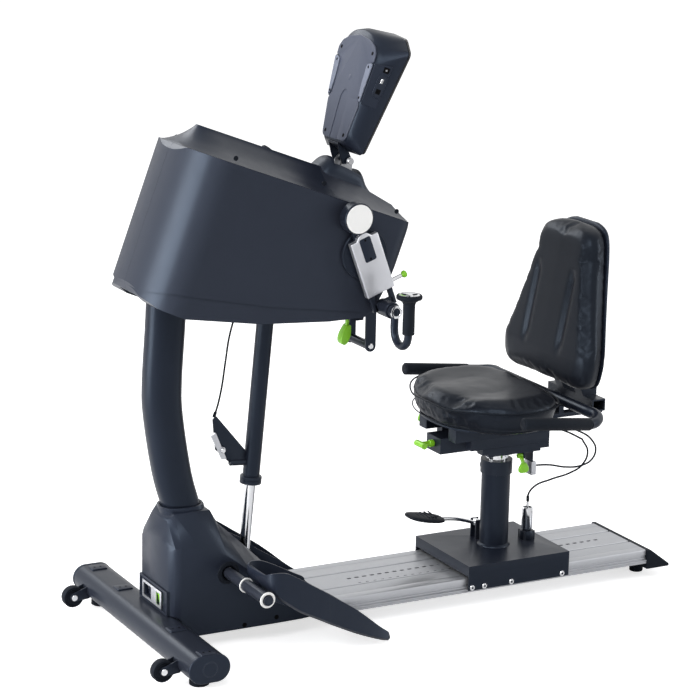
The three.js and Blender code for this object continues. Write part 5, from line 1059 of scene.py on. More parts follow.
@dataclass
class Footrests:
    """Cross shaft with its sleeve and white rings, and the two folding footrests."""

    shaft: Pair = (168, 186)
    treads: int = 7
    cheek_places: Pair = (204, 284)
    cheek_thick: float = 6
    tread_from: float = 0.28
    tread_span: float = 0.62
    tread_lift: float = 6.5
    heel: Pair = (190, 160)
    fall: Pair = (345, 152)
    shaft_rings: tuple[Pair, ...] = ((198.4, 18.5), (313.2, 19.6))
    hub_radius: float = 15
    wall: float = 5
    lean: float = 8
    cheek: tuple[Pair, ...] = ((155, 186), (172, 200), (250, 158), (262, 140), (205, 166))
    rows: tuple[tuple[float, ...], ...] = (
        (187, 166, 262, 206, 222, 214, 220), (189, 160, 280, 201, 231, 221, 227),
        (194, 156, 292, 192, 236, 225, 224), (203, 150, 298, 180, 238, 227, 207),
        (216, 147, 300, 168, 238, 226, 189), (235, 146, 300, 154, 233, 222, 166),
        (268, 146, 299, 131, 214, 207, 137), (319, 146, 295, 104, 182, 180, 109),
        (345, 146, 292, 90, 165, 166, 98), (358, 146, 290, 83, 156, 149, 92),
        (432, 146, 280, 46, 107, 102, 59), (500, 146, 268, 17, 52, 53, 29), (522, 148, 264, 10, 36, 36, 20),
        (529, 152, 262, 8.6, 31, 31, 29), (534, 158, 256, 8.6, 27, 27, 26),
    )

    def pan(self) -> Shape:
        """Make the foot pan: a scooped heel, two side walls and a low toe wall."""
        rings = []
        for x, inner, outer, low, top_out, top_in, floor in smooth_rows(self.rows, 71):
            rings.append([(x, y, z) for y, z in (
                (inner + 4, low), (outer - 7, low), (outer, low + 7), (outer - self.lean, top_out),
                (outer - self.lean - self.wall, top_out),
                (outer - self.lean - self.wall, min(floor, top_out - 1)),
                (inner + self.wall + 2, min(floor, top_in - 1)), (inner + self.wall, top_in), (inner, top_in),
                (inner, low + 5))])
        return Shape.bridged(rings)

    def build(self) -> None:
        """Make both sides."""
        for side in Side:
            self.pan().piece(f"foot_plate_{side.word}", f"{side.word}_footrest", CASING, mirrored(side),
                             [f"footrest_{side.word}"], rounding=2.4, sharp=48)
            hub = Shape.turned([(12.5, 200), (self.hub_radius, 200), (self.hub_radius, 313), (12.5, 313)],
                               40, True)
            hub.moved(across(*self.shaft))
            for inside in self.cheek_places:
                hub.joined(Shape.prism(self.cheek, inside, inside + self.cheek_thick).bevelled(1.2, 2))
            hub.piece(f"foot_hub_{side.word}", f"{side.word}_footrest", POWDER, mirrored(side))
            sleeve = Shape.turned([(12.2, 100), (13.8, 100), (13.8, 196), (12.2, 196)], 40, True)
            sleeve.moved(across(*self.shaft)).piece(f"shaft_sleeve_{side.word}", "base", POWDER,
                                                    mirrored(side))
            rings = Shape()
            for reach, radius in self.shaft_rings:
                ring = Shape.turned([(radius - 6, reach), (radius - 0.8, reach), (radius, reach + 0.8),
                                     (radius, reach + 1.8), (radius - 0.8, reach + 2.6),
                                     (radius - 6, reach + 2.6)], 48, True)
                rings.joined(ring.moved(across(*self.shaft)))
            rings.piece(f"shaft_rings_{side.word}", f"{side.word}_footrest", WHITE, mirrored(side))
            treads = Shape()
            for i in range(self.treads):
                share = self.tread_from + self.tread_span * i / (self.treads - 1)
                x = self.heel[0] + self.fall[0] * share
                z = self.heel[1] - self.fall[1] * share + self.tread_lift
                strip = Shape.block((-5, 160, -1), (5, 244, 1.4)).bevelled(0.8, 2)
                lean = Matrix.Rotation(math.atan2(self.fall[1], self.fall[0]), 4, "Y")
                treads.joined(strip.moved(Matrix.Translation((x, 0, z)) @ lean))
            treads.piece(f"foot_treads_{side.word}", f"{side.word}_footrest", RUBBER, mirrored(side))


@dataclass
class Strut:
    """Gas strut with its cover tube, release bracket and lever."""

    low: Pair = (257, 190)
    high: Pair = (314, 860)
    rod_radius: float = 13
    tube_radius: float = 21
    tube_low: float = 182

    def point(self, along: float, aside: float = 0.0) -> Pair:
        """Give the place at a distance along and beside the strut."""
        length = math.dist(self.low, self.high)
        u, w = (self.high[0] - self.low[0]) / length, (self.high[1] - self.low[1]) / length
        return self.low[0] + u * along - w * aside, self.low[1] + w * along + u * aside

    def between(self, profile: Sequence[Pair], steps: int = 48) -> Shape:
        """Turn a profile of radius and distance about the strut's line."""
        lean = math.atan2(self.high[0] - self.low[0], self.high[1] - self.low[1])
        place = Matrix.Translation((self.low[0], 0, self.low[1])) @ Matrix.Rotation(lean, 4, "Y")
        return Shape.turned(profile, steps).moved(place)

    def build(self) -> None:
        """Make the rod, the tube and the release gear."""
        eye = Shape.turned([(7.3, -13), (16, -13), (17, -12), (17, 12), (16, 13), (7.3, 13)], 40, True)
        rod = self.between([(0, 8), (self.rod_radius, 8), (self.rod_radius, 322), (0, 322)])
        rod.joined(eye.moved(across(*self.low))).piece("strut_chrome_rod", "strut_lower", CHROME,
                                                     instead_of=["strut_rod"])
        low = self.tube_low
        tube = self.between([(0, low + 2), (13.3, low), (25.5, low), (27, low + 1.5), (27, low + 9),
                             (25.8, low + 10), (25.8, low + 11), (27, low + 12), (27, low + 18.5),
                             (25.5, low + 20), (self.tube_radius, low + 20.5), (self.tube_radius, 662),
                             (0, 662)])
        head = Shape.turned([(0, -13), (16, -13), (17, -12), (17, 12), (16, 13), (0, 13)], 40)
        pin = Shape.turned([(0, -48), (7, -48), (7, 48), (0, 48)], 24)
        tube.joined(head.moved(across(*self.high)), pin.moved(across(*self.high)))
        tube.piece("strut_cover_tube", "strut_upper", POWDER, instead_of=["strut_tube"])
        root = self.tube_radius - 1
        plate = Shape.prism([self.point(236, root), self.point(264, root), self.point(354, 109),
                             self.point(345, 118), self.point(270, 104), self.point(236, 62)], -3, 3)
        plate.bevelled(1.2, 2).piece("release_bracket", "strut_upper", POWDER)
        stub_end, stub_root = self.point(236, 62), self.point(236, root)
        stub = Shape.rod((stub_end[0], 0, stub_end[1]), (stub_root[0], 0, stub_root[1]), 8, 24, 1)
        stub.piece("release_stub", "strut_upper", POWDER)
        Shape.copied("strut_release_lever").piece("release_handle", "strut_lever", ZINC,
                                                  instead_of=["strut_release_lever"], rounding=1.5)
        x, z = self.point(270, 88)
        bolt = Shape.turned([(0, -14.5), (5, -14.5), (6, -13.5), (6, -11.6), (3, -11.5), (3, 0), (0, 0)], 24)
        bolt.moved(across(x, z)).piece("release_bolt", "strut_upper", CHROME)


@dataclass
class Casing:
    """Covers of the crank head, drawn about the crank axis: A runs to the nose and B upwards."""

    tilt: float = math.radians(20)
    axis: Pair = (480, 962)
    rear: float = 490
    nose: float = 113
    low: float = 272
    ridge: float = 163
    border: float = 105
    half: float = 170
    inset: float = 4
    wall: float = 4
    rear_round: float = 100
    rear_power: float = 2.25
    nose_round: float = 42
    strip_half: float = 60
    strip_low: float = -66
    ridge_half: float = 26
    hip: float = 46
    hip_share: float = 0.5
    roof_shares: tuple[Pair, ...] = ((0, -0.012), (0.04, 0.1), (0.18, 0.3), (0.45, 0.6), (0.84, 0.91), (1, 1))
    fairing_low: float = 118
    fairing_power: float = 2.8
    fairing: tuple[Place, ...] = (
        (-107.6, 36, 163.5), (-99, 44, 176), (-88, 48, 190), (-72, 50, 195), (-40, 50, 193), (-4, 50, 187),
        (10, 50, 180), (24, 50, 162), (40, 48, 149), (60, 42, 139), (84, 28, 128),
    )
    seam: float = 108
    seam_gap: float = 0.4
    shaft_hole: float = 27
    strip_in: float = 11.7
    side_gap: float = 0.3
    mast_slot: tuple[Pair, Pair] = ((-78, -37), (4, 37))
    screw_out: float = 165.4
    far: float = 1200
    outline: tuple[Pair, ...] = (
        (0, 0.083), (0.02, 0.037), (0.066, 0.011), (0.166, 0.005), (0.483, 0.094), (0.769, 0.214),
        (0.915, 0.292), (0.939, 0.331), (0.983, 0.586), (1, 0.694), (0.998, 0.786), (0.978, 0.851),
        (0.95, 0.926), (0.869, 0.952), (0.804, 0.97), (0.713, 1), (0.083, 1), (0.046, 0.924), (0.01, 0.86),
        (0, 0.832),
    )
    low_border: tuple[Pair, ...] = (
        (-0.02, 0.053), (0.093, 0.115), (0.506, 0.202), (0.813, 0.294), (0.929, 0.331), (1.03, 0.38),
    )
    belly: tuple[Place, Place] = ((-475, -48, -290), (-118, 48, -164))
    seam_screws: tuple[Pair, ...] = ((-160, 128), (52, 120), (-400, 118))

    @property
    def group(self) -> Matrix:
        """Where the casing's own directions lie on the machine."""
        return Matrix.Translation((self.axis[0], 0, self.axis[1])) @ Matrix.Rotation(self.tilt, 4, "Y")

    def point(self, share: Pair, wall: float = 0.0) -> Pair:
        """Give a place from shares of the casing's length and height."""
        length, height = self.rear + self.nose - 2 * wall, self.low + self.ridge - 2 * wall
        return wall - self.rear + share[0] * length, wall - self.low + share[1] * height

    def plan(self, inset: float, way: float = 0.0, ahead: float = 0.0) -> list[Pair]:
        """List the casing's corners seen from above.

        Args:
            inset: How far the walls stand in.
            way: Share of the way from the walls in to the ridge.
            ahead: How far the nose end is carried on.

        Returns:
            The corners in order.
        """
        half = (self.half - inset) * (1 - way) + self.ridge_half * way
        start, end = inset - self.rear + self.hip * way, self.nose - inset + ahead
        back = self.rear_round * (1 - way * self.hip_share)
        turn = self.nose_round * (1 - way) + self.ridge_half * way * self.hip_share
        rear = [(start + back - back * (1 - u), half * v) for u, v in
                ((1 - math.sin(math.pi * i / 72) ** (2 / self.rear_power),
                  math.copysign(abs(math.cos(math.pi * i / 72)) ** (2 / self.rear_power), 36 - i))
                 for i in range(73))]
        near = [(end - turn + turn * math.sin(math.pi * i / 24),
                 -half + turn - turn * math.cos(math.pi * i / 24))
                for i in range(13)]
        return rear + near + [(a, -y) for a, y in reversed(near)]

    def body(self, inset: float, wall: float) -> Shape:
        """Make the solid between the side outline and the plan."""
        side = Shape.prism([self.point(p, wall) for p in self.outline], -self.half, self.half)
        return worked(side, Shape.prism(self.plan(inset), -self.far, self.far, Plane.PLAN), "INTERSECT")

    def roof(self, inset: float) -> Shape:
        """Make the solid under the hipped roof, hollow-sided up to its narrow ridge."""
        rise = self.ridge - self.border - inset
        rows = [(-self.far, self.roof_shares[0][1])]
        rows += [(self.border + rise * up, way) for up, way in smooth_rows(self.roof_shares, 22)]
        return Shape.bridged([[(a, y, b) for a, y in self.plan(self.inset + inset, way, self.nose_round)]
                              for b, way in rows])

    def fairing_body(self) -> Shape:
        """Make the smooth rise in the nose cover round the console's mast."""
        rings = []
        for along, half, top in smooth_rows(self.fairing, 40):
            arch = [(y, z) for y, z in superoval(half, top - self.fairing_low, self.fairing_power, 56, 0,
                                                 self.fairing_low) if z > self.fairing_low - 0.01]
            rings.append([(along, y, z) for y, z in arch])
        return Shape.bridged(rings)

    def inner(self) -> Shape:
        """Make the room inside the covers."""
        return worked(self.body(self.inset + self.wall, self.wall), self.roof(self.wall), "INTERSECT")

    def shell(self, inset: float) -> Shape:
        """Make the covers' outer skin: full at no inset, and under the roof where it is inset."""
        outer = self.body(inset, 0)
        if inset:
            outer = worked(outer, self.roof(0), "INTERSECT")
        return worked(outer, self.inner(), "DIFFERENCE")

    def build(self) -> None:
        """Make the covers and their screws."""
        for side in Side:
            self._side(side)
        far = self.far
        top = worked(self.shell(self.inset), Shape.block((-far, -far, self.border + self.seam_gap),
                                                         (-self.seam - self.seam_gap, far, far)), "INTERSECT")
        top.piece("top_cover_skin", "head", CASING, self.group, ["top_cover"], sharp=24, rounding=1.6)
        self._nose()
        for side in Side:
            for number, (along, up) in enumerate(self.seam_screws):
                screw = Shape.turned([(0, 0), (5.5, 0), (6, 0.6), (6, 1.4), (3, 1.4), (2.6, 0.4),
                                      (0, 0.4)], 24)
                screw.moved(across(along, up) @ Matrix.Translation((0, 0, self.screw_out)))
                screw.piece(f"casing_screw_{side.word}_{number}", "head", RUBBER, self.group @ mirrored(side))

    def _nose(self) -> None:
        """Make the nose cover: its roof, the strip between the side covers and the mast's fairing."""
        far, edge = self.far, self.border + self.seam_gap
        roof = worked(self.shell(self.inset), Shape.block((-self.seam, -far, edge), (far, far, far)),
                      "INTERSECT")
        strip = Shape.block((self.nose - self.nose_round - self.strip_in, -self.strip_half, self.strip_low),
                            (far, self.strip_half, edge + 0.4))
        cover = worked(roof, worked(self.shell(self.inset), strip, "INTERSECT"), "UNION")
        cover = worked(cover, worked(self.fairing_body(), self.inner(), "DIFFERENCE"), "UNION")
        (rear, near), (ahead, away) = self.mast_slot
        cover = worked(cover, Shape.block((rear, near, 100), (ahead, away, far)), "DIFFERENCE")
        cover.piece("nose_cover_skin", "head", CASING, self.group, ["nose_cover"], sharp=24, rounding=1.6)

    def _side(self, side: Side) -> None:
        """Make one side cover: the proud panel and the recessed belly below it."""
        far, low = self.far, [self.point(p) for p in self.low_border]
        zone = [*low, (far, low[-1][1]), (far, self.border), (low[0][0], self.border)]
        under = [(a, b + 1) for a, b in low]
        zone_up = [*under, (far, under[-1][1]), (far, self.far), (under[0][0], self.far)]
        panel = worked(self.shell(0), Shape.prism(zone, -far, far), "INTERSECT")
        belly = worked(self.shell(self.inset), Shape.prism(zone_up, -far, far), "DIFFERENCE")
        cover = worked(panel, belly, "UNION")
        near, out = sorted((side.value * self.side_gap, side.value * far))
        cover = worked(cover, Shape.block((-far, near, -far), (far, out, far)), "INTERSECT")
        start = self.nose - self.nose_round - self.strip_in - self.side_gap
        half = self.strip_half + self.side_gap
        for cutter in (
            Shape.block((start, -half, -far), (far, half, far)),
            Shape.block(*self.belly),
            Shape.rod((0, -far, 0), (0, far, 0), self.shaft_hole, 64),
        ):
            cover = worked(cover, cutter, "DIFFERENCE")
        cover.piece(f"side_cover_{side.word}_skin", "head", CASING, self.group, [f"side_cover_{side.word}"],
                    sharp=24, rounding=2.0)


@dataclass
class Console:
    """Display head: body, rear panel, side port panels, bezel and tilt bracket."""

    back_low: Pair = (482, 1207)
    back_high: Pair = (552, 1448)
    front_low: Pair = (521, 1182)
    front_high: Pair = (632, 1436)
    low_half: float = 62
    high_half: float = 98
    front_low_half: float = 92
    front_high_half: float = 124
    crown: float = 28
    front_reach: float = 11
    front_corner: float = 0.95
    shoulder: tuple = ((484, 1206), (555, 1448), 65, 101)
    middle: tuple = ((492, 1200), (572, 1449), 74, 107, 0, 26)
    display_rows: tuple[Pair, ...] = ((-6.9, 3.0), (-6.0, 1.4), (-1.2, 1.4), (0, 3.0))
    panel_rise: float = 2.4
    port_rise: float = 6.2

    @property
    def group(self) -> Matrix:
        """Panel directions: X across the machine, Y up the rear face, Z out of it to the rear."""
        up = Vector((self.back_high[0] - self.back_low[0], 0,
                     self.back_high[1] - self.back_low[1])).normalized()
        wide = Vector((0, -1, 0))
        out = wide.cross(up)
        turn = Matrix((wide, up, out)).transposed().to_4x4()
        return Matrix.Translation((self.back_low[0], 0, self.back_low[1])) @ turn

    def side_point(self, up: float, ahead: float, out: float = 0.0) -> Vector:
        """Give a place on the near side face from shares of its height and depth."""
        def mixed(first: Pair, second: Pair, half_a: float, half_b: float) -> Vector:
            """Give the place at the asked height on one edge."""
            return Vector((first[0] + (second[0] - first[0]) * up, -half_a - (half_b - half_a) * up,
                           first[1] + (second[1] - first[1]) * up))
        rear = mixed(self.back_low, self.back_high, self.low_half, self.high_half)
        front = mixed(self.front_low, self.front_high, self.front_low_half, self.front_high_half)
        face = (front - rear).cross(Vector((0.28, 0, 0.96))).normalized()
        face = face if face.y < 0 else -face
        return rear + (front - rear) * ahead + face * out

    def ring(self, low: Pair, high: Pair, low_half: float, high_half: float, shrink: float = 0.0,
             reach: float = 36.0, corner: float = 0.84) -> list[Place]:
        """List the corners of the body's outline in one plane, rounded and crowned.

        Args:
            low: The outline's foot in X and Z.
            high: Its top.
            low_half: Half its width at the foot.
            high_half: Half its width at the top.
            shrink: How far it stands in all round.
            reach: How far from each corner the rounding starts.
            corner: Height of the upper corners as a share of the whole.

        Returns:
            The corners in order.
        """
        lift = 0.55 + (corner - 0.84) * 1.6
        shares = ((-1, 0, 0), (1, 0, 0), (1, corner, 0), (0.62, 1, lift), (0, 1, 1.0), (-0.62, 1, lift),
                  (-1, corner, 0))
        along = Vector((high[0] - low[0], high[1] - low[1]))
        length = along.length
        flat = []
        for u, v, rise in shares:
            half = low_half + (high_half - low_half) * v - shrink
            flat.append((u * half, shrink + v * (length - 2 * shrink) + rise * self.crown))
        along.normalize()
        return [(low[0] + along[0] * v, u, low[1] + along[1] * v) for u, v in eased(flat, reach, 10)]

    def front_ring(self, ahead: float, shrink: float) -> list[Place]:
        """List the outline's corners near the front face, a distance ahead of it and shrunk."""
        low = (self.front_low[0] + ahead, self.front_low[1])
        high = (self.front_high[0] + ahead, self.front_high[1])
        return self.ring(low, high, self.front_low_half, self.front_high_half, shrink, self.front_reach,
                         self.front_corner)

    def build(self) -> None:
        """Make the console."""
        body = Shape.bridged([
            self.ring(self.back_low, self.back_high, self.low_half, self.high_half, 3),
            self.ring(*self.shoulder),
            self.ring(*self.middle),
            self.front_ring(-9.5, 0),
            self.front_ring(-7.4, 1.6),
        ])
        body.piece("console_body", "console", CASING, instead_of=["console_shell"], sharp=70)
        Shape.bridged([self.front_ring(*row) for row in self.display_rows]).piece(
            "console_display", "console", SCREEN, instead_of=["console_screen"])
        Shape.copied("console_bracket").piece("tilt_bracket", "console", POWDER,
                                              instead_of=["console_bracket"], rounding=1.0)
        self._rear_panel()
        for side in Side:
            self._ports(side)
        bolt = Shape.turned([(0, 40), (7.5, 40), (8.5, 38.5), (8.5, 35), (10, 35), (10, 33), (6, 33),
                             (0, 33)], 24)
        bolt.moved(mirrored(Side.LEFT) @ across(512, 1160)).piece("tilt_bolt", "console", CHROME)

    def _rear_panel(self) -> None:
        """Make the grey rear panel with its arched groove, round mark and screws."""
        half = [(0, 6), (52, 6), (60, 14), (78, 98), (68, 112), (66, 150), (70, 196), (82, 203), (93, 204),
                (93, 226), (80, 243), (50, 256), (0, 263)]
        corners = half + [(-u, v) for u, v in reversed(half[1:-1])]
        panel = Shape.prism(eased(corners, 6, 4), -1.5, self.panel_rise, Plane.PLAN)
        made = panel.piece("rear_panel", "console", GREY, self.group, rounding=1.6)
        arch = eased([(-19, -10), (19, -10), (19, 112), (8, 128), (-8, 128), (-19, 112)], 12, 6)
        groove = Shape.prism(arch, self.panel_rise - 1.5, self.panel_rise + 4, Plane.PLAN)
        hollowed(made, groove.moved(self.group))
        for number, (u, v) in enumerate(((78, 225), (-78, 225), (46, 20), (-46, 20))):
            screw = Shape.turned([(0, 0), (4.6, 0), (4.6, self.panel_rise + 0.25),
                                  (0, self.panel_rise + 0.25)], 24)
            screw.moved(Matrix.Translation((u, v, 0))).piece(f"panel_screw_{number}", "console", HOLE,
                                                             self.group)
        disc = Shape.turned([(0, 2), (7, 2), (7, self.panel_rise + 0.2), (6.4, self.panel_rise + 0.45),
                             (0, self.panel_rise + 0.45)], 32)
        disc.moved(Matrix.Translation((2, 158, 0))).piece("panel_disc", "console", GREY, self.group)

    def _ports(self, side: Side) -> None:
        """Make one side's port housing: its pale rear tab, its side face and what is set in it."""
        tab = Shape.prism(eased([(69, 196), (80, 201), (94, 202), (80, 104), (70, 114), (67, 150)], 5, 4),
                          self.panel_rise - 2, self.panel_rise + 2.2, Plane.PLAN)
        turned = mirrored(side) @ mirrored(Side.LEFT) @ self.group
        tab.piece(f"port_tab_{side.word}", "console", PALE, turned, rounding=1.2)
        dots = Shape()
        for u, v in ((80, 192), (74, 116)):
            dots.joined(Shape.rod((u, v, 1), (u, v, self.panel_rise + 2.4), 3.4, 20))
        dots.piece(f"port_tab_screws_{side.word}", "console", HOLE, turned)
        flip = mirrored(side) @ mirrored(Side.LEFT)
        edges = ((0.41, 0.03), (0.41, 0.62), (0.81, 0.60), (0.81, 0.03))
        face = Shape.bridged([[tuple(self.side_point(u, d, out)) for u, d in edges]
                              for out in (-2.0, self.port_rise)])
        face.piece(f"port_face_{side.word}", "console", CASING, flip, rounding=1.2)
        origin = self.side_point(0.63, 0.45, self.port_rise)
        up = (self.side_point(0.73, 0.45, self.port_rise) - origin).normalized()
        out = (self.side_point(0.63, 0.45, self.port_rise + 1) - origin).normalized()
        wide = up.cross(out).normalized()
        place = Matrix.Translation(origin) @ Matrix((wide, up, out)).transposed().to_4x4()
        rim = Shape.prism(rounded(12, 29, 11.5, 0, -5), -0.6, 2.2, Plane.PLAN)
        rim.piece(f"port_rim_{side.word}", "console", CASING, flip @ place, rounding=0.9)
        floor = Shape.prism(rounded(9.4, 26.4, 9.1, 0, -5), 0.2, 2.4, Plane.PLAN)
        floor.piece(f"port_floor_{side.word}", "console", POWDER, flip @ place)
        jack = Shape.prism(rounded(7, 7, 1.5, 0, 36), -0.6, 0.7, Plane.PLAN)
        jack.joined(Shape.block((-5.5, -24, 2.3), (5.5, -12, 2.7)))
        jack.piece(f"port_holes_{side.word}", "console", HOLE, flip @ place)
        bright = Shape.block((-2.8, 3, 2.3), (2.8, 14, 2.9)).bevelled(0.4, 1)
        bright.joined(Shape.rod((0, 36, 0.6), (0, 36, 1.2), 2.4, 16))
        bright.piece(f"port_contacts_{side.word}", "console", CHROME, flip @ place)


@dataclass
class CrankSet:
    """Both crank arms with their forks, pull pins and turning handles."""

    angle: float = math.radians(69.5)
    axis: Pair = (480, 962)
    reach: float = 139
    right_lean: float = math.radians(49)
    cover_back: float = -46
    cover_front: float = 97
    cover_half: float = 38
    arch: float = 14
    cover_in: float = 187.3
    cover_out: float = 204

    def build(self) -> None:
        """Make both arms and handles."""
        for side in Side:
            turn = self.angle + (0 if side is Side.LEFT else math.pi)
            place = Matrix.Translation((self.axis[0], 0, self.axis[1])) @ Matrix.Rotation(turn, 4, "Y")
            group = place @ mirrored(side)
            self._arm(side, group)
            self._fork(side, group)
            x = self.axis[0] + self.reach * math.cos(turn)
            z = self.axis[1] - self.reach * math.sin(turn)
            lean = 0 if side is Side.LEFT else self.right_lean
            stand = Matrix.Translation((x, 0, z)) @ Matrix.Rotation(lean, 4, "Y") @ mirrored(side)
            self._handle(side, stand)

    def _arm(self, side: Side, group: Matrix) -> None:
        """Make the hub disc, the arm, its round counterweight and the silver cover."""
        lying = across(0, 0)
        disc = Shape.turned([(0, 172), (58.5, 172), (60, 173.5), (60, 178.5), (58.5, 180), (0, 180)],
                            72).moved(lying)
        body = Shape.block((-46, 179, -35), (97, 187, 35)).bevelled(1.5, 2)
        neck = Shape.block((-99, 182, -20), (-44, 192, 20)).bevelled(2, 3)
        boss = Shape.turned([(0, 186), (22, 186), (22, 198), (0, 198)], 32).moved(lying)
        puck = Shape.turned([(0, 182), (36, 182), (38, 184), (38, 210), (36.5, 212), (35, 212.4),
                             (0, 212.4)], 64)
        puck.moved(across(-99, 0))
        disc.joined(body, neck, boss, puck)
        disc.piece(f"arm_{side.word}", "crank", POWDER, group, [f"crank_arm_{side.word}"])
        face = Shape.turned([(0, 212), (34, 212), (34.6, 212.5), (34, 213), (0, 213)],
                            64).moved(across(-99, 0))
        face.piece(f"weight_face_{side.word}", "crank", WHITE, group)
        strip = Shape.block((-60, 192, -9), (-57.5, 194.5, 13)).bevelled(0.5, 1)
        strip.piece(f"arm_clip_{side.word}", "crank", CHROME, group)
        arch_half = self.cover_half * 0.55
        arch = [(self.cover_back - self.arch * (1 - (k / 8) ** 2), -arch_half * k / 8) for k in range(-8, 9)]
        outline = [(self.cover_front, -self.cover_half), (self.cover_front, self.cover_half),
                   (self.cover_back, self.cover_half), *arch, (self.cover_back, -self.cover_half)]
        cover = Shape.prism(outline, self.cover_in, self.cover_out).bevelled(2.2, 3, 40)
        cover.piece(f"silver_cover_{side.word}", "crank", SILVER, group, [f"arm_cover_{side.word}"])
        insert = Shape.prism(rounded(30, 15.5, 5, -18, 0), self.cover_out - 1, self.cover_out + 1.2)
        insert.bevelled(0.9, 2, 50).piece(f"cover_insert_{side.word}", "crank", CASING, group)
        for number, u in enumerate((-42, 6)):
            screw = Shape.turned([(0, 204), (2.6, 204), (2.6, 205.6), (0, 205.6)], 20).moved(across(u, 0))
            screw.piece(f"insert_screw_{side.word}_{number}", "crank", HOLE, group)

    def _fork(self, side: Side, group: Matrix) -> None:
        """Make the sliding fork, its bearing and the pull pin."""
        fork = Shape()
        for v in (-26, 26):
            fork.joined(Shape.block((60, 189.5, v - 6.5), (139, 199.5, v + 6.5)).bevelled(1.5, 2))
        fork.joined(Shape.block((119, 189.5, -26), (139, 199.5, 26)).bevelled(1.5, 2))
        hub = Shape.turned([(9.4, 181), (18.5, 181), (20, 182.5), (20, 232.5), (18.5, 234), (9.4, 234)],
                           48, True)
        fork.joined(hub.moved(across(self.reach, 0)))
        body = f"fork_{side.word}"
        fork.piece(f"fork_body_{side.word}", body, POWDER, group, [f"crank_fork_{side.word}"])
        screws = Shape()
        for reach in (214, 222):
            screws.joined(Shape.rod((self.reach - 19.4, reach, 4), (self.reach - 20.6, reach, 4), 2.2, 16))
        screws.piece(f"fork_screws_{side.word}", body, CHROME, group)
        stem = Shape.rod((84, 194.5, 24), (84, 194.5, 67), 3.0, 24)
        sleeve = Shape.rod((84, 194.5, 38.4), (84, 194.5, 66), 4.6, 24, 0.6)
        stem.joined(sleeve).piece(f"pull_stem_{side.word}", f"pin_{side.word}", CHROME, group)
        knob = Shape.turned([(0, 0), (4.5, 0), (5.5, 3), (8.2, 5), (9, 7.5), (8.6, 11), (6.5, 13.4),
                             (0, 14)], 32)
        knob.moved(Matrix.Translation((84, 194.5, 66)))
        knob.piece(f"pull_knob_{side.word}", f"pin_{side.word}", GREEN, group, [f"pull_pin_{side.word}"])

    def _handle(self, side: Side, stand: Matrix) -> None:
        """Make the bent tube, its ringed end, the foam grip and the dished cap."""
        body = f"handle_{side.word}"
        down, grip_y = 234.3 + 9.5, 311.0
        bend = (grip_y - down) / 2
        low = -76 + bend
        turns = [(0, down + bend - bend * math.cos(math.pi * k / 6), low - bend * math.sin(math.pi * k / 6))
                 for k in range(7)]
        run = [(0, down, 6), (0, down, low * 0.5), *turns, (0, grip_y, low * 0.5), (0, grip_y, 34)]
        tube = Shape.tube(run, 9.5, 6, 8)
        spindle = Shape.turned([(0, 184), (9, 184), (9, 246), (0, 246)], 32).moved(across(0, 0))
        barrel = Shape.turned([(0, 234.4), (15, 234.4), (15, 250), (11, 252.6), (0, 252.6)], 40)
        tube.joined(spindle, barrel.moved(across(0, 0)))
        tube.piece(f"handle_bend_{side.word}", body, POWDER, stand, [f"handle_tube_{side.word}"])
        ring = Shape.turned([(9.5, 249.5), (15.2, 249.5), (15.5, 250.5), (15.2, 253.4), (14, 254),
                             (10.5, 254), (9.5, 253)], 48, True)
        ring.moved(across(0, 0)).piece(f"spindle_ring_{side.word}", body, CHROME, stand)
        grip = Shape.turned([(0, -41), (13.4, -41), (14.5, -39.5), (14.5, -20), (14.2, 10), (14.6, 32),
                             (17, 38),
                             (23, 42), (29, 44.5), (31, 47), (31, 52), (29.4, 55), (26.4, 56), (25.4, 54.5),
                             (24, 50), (0, 50)], 64)
        grip.moved(Matrix.Translation((0, grip_y, 0)))
        grip.piece(f"grip_{side.word}", body, FOAM, stand, [f"handle_grip_{side.word}"], sharp=50)
        dish = Shape.turned([(0, 49.4), (26, 49.4), (26, 54.6), (24.5, 55.6), (17, 54.4), (9, 54.2),
                             (7.5, 55.4), (4, 56.2), (0, 56.4)], 64)
        dish.moved(Matrix.Translation((0, grip_y, 0)))
        dish.piece(f"grip_dish_{side.word}", body, CHROME, stand)
        spokes = Shape()
        for k in range(3):
            spoke = Shape.block((9, -2.4, 53.6), (22, 2.4, 55.7)).bevelled(0.7, 2)
            turn = Matrix.Rotation(k * 2 * math.pi / 3, 4, "Z")
            spokes.joined(spoke.moved(Matrix.Translation((0, grip_y, 0)) @ turn))
        spokes.piece(f"grip_spokes_{side.word}", body, RUBBER, stand)


@dataclass
class GrabHandle:
    """D-shaped handle under the nose with its bolts and the height lever."""

    x: float = 570
    bar_z: float = 700

    def build(self) -> None:
        """Make the handle and the lever."""
        grab = Shape.copied("grab_handle")
        grab.piece("grab_loop", "head", POWDER, instead_of=["grab_handle"], rounding=1.2)
        bolts = Shape()
        for side in Side:
            bolt = Shape.turned([(0, 54), (7, 54), (7, 56.4), (5.5, 58), (2.6, 58), (2.4, 56.6),
                                 (0, 56.6)], 28)
            bolts.joined(bolt.moved(mirrored(side) @ across(self.x, self.bar_z)))
        bolts.piece("grab_bolts", "head", CHROME)
        paddle = [(533, 746), (519, 724), (515, 708), (519, 697), (527, 695), (536, 704), (542, 720),
                  (542, 746)]
        lever = Shape.prism(eased(paddle, 7, 4), -4, 20).bevelled(3.2, 3, 40)
        lever.joined(Shape.block((533, 3, 740), (540, 12, 770)).bevelled(1.5, 2))
        lever.piece("height_paddle", "head_lever", GREEN, instead_of=["height_lever"])


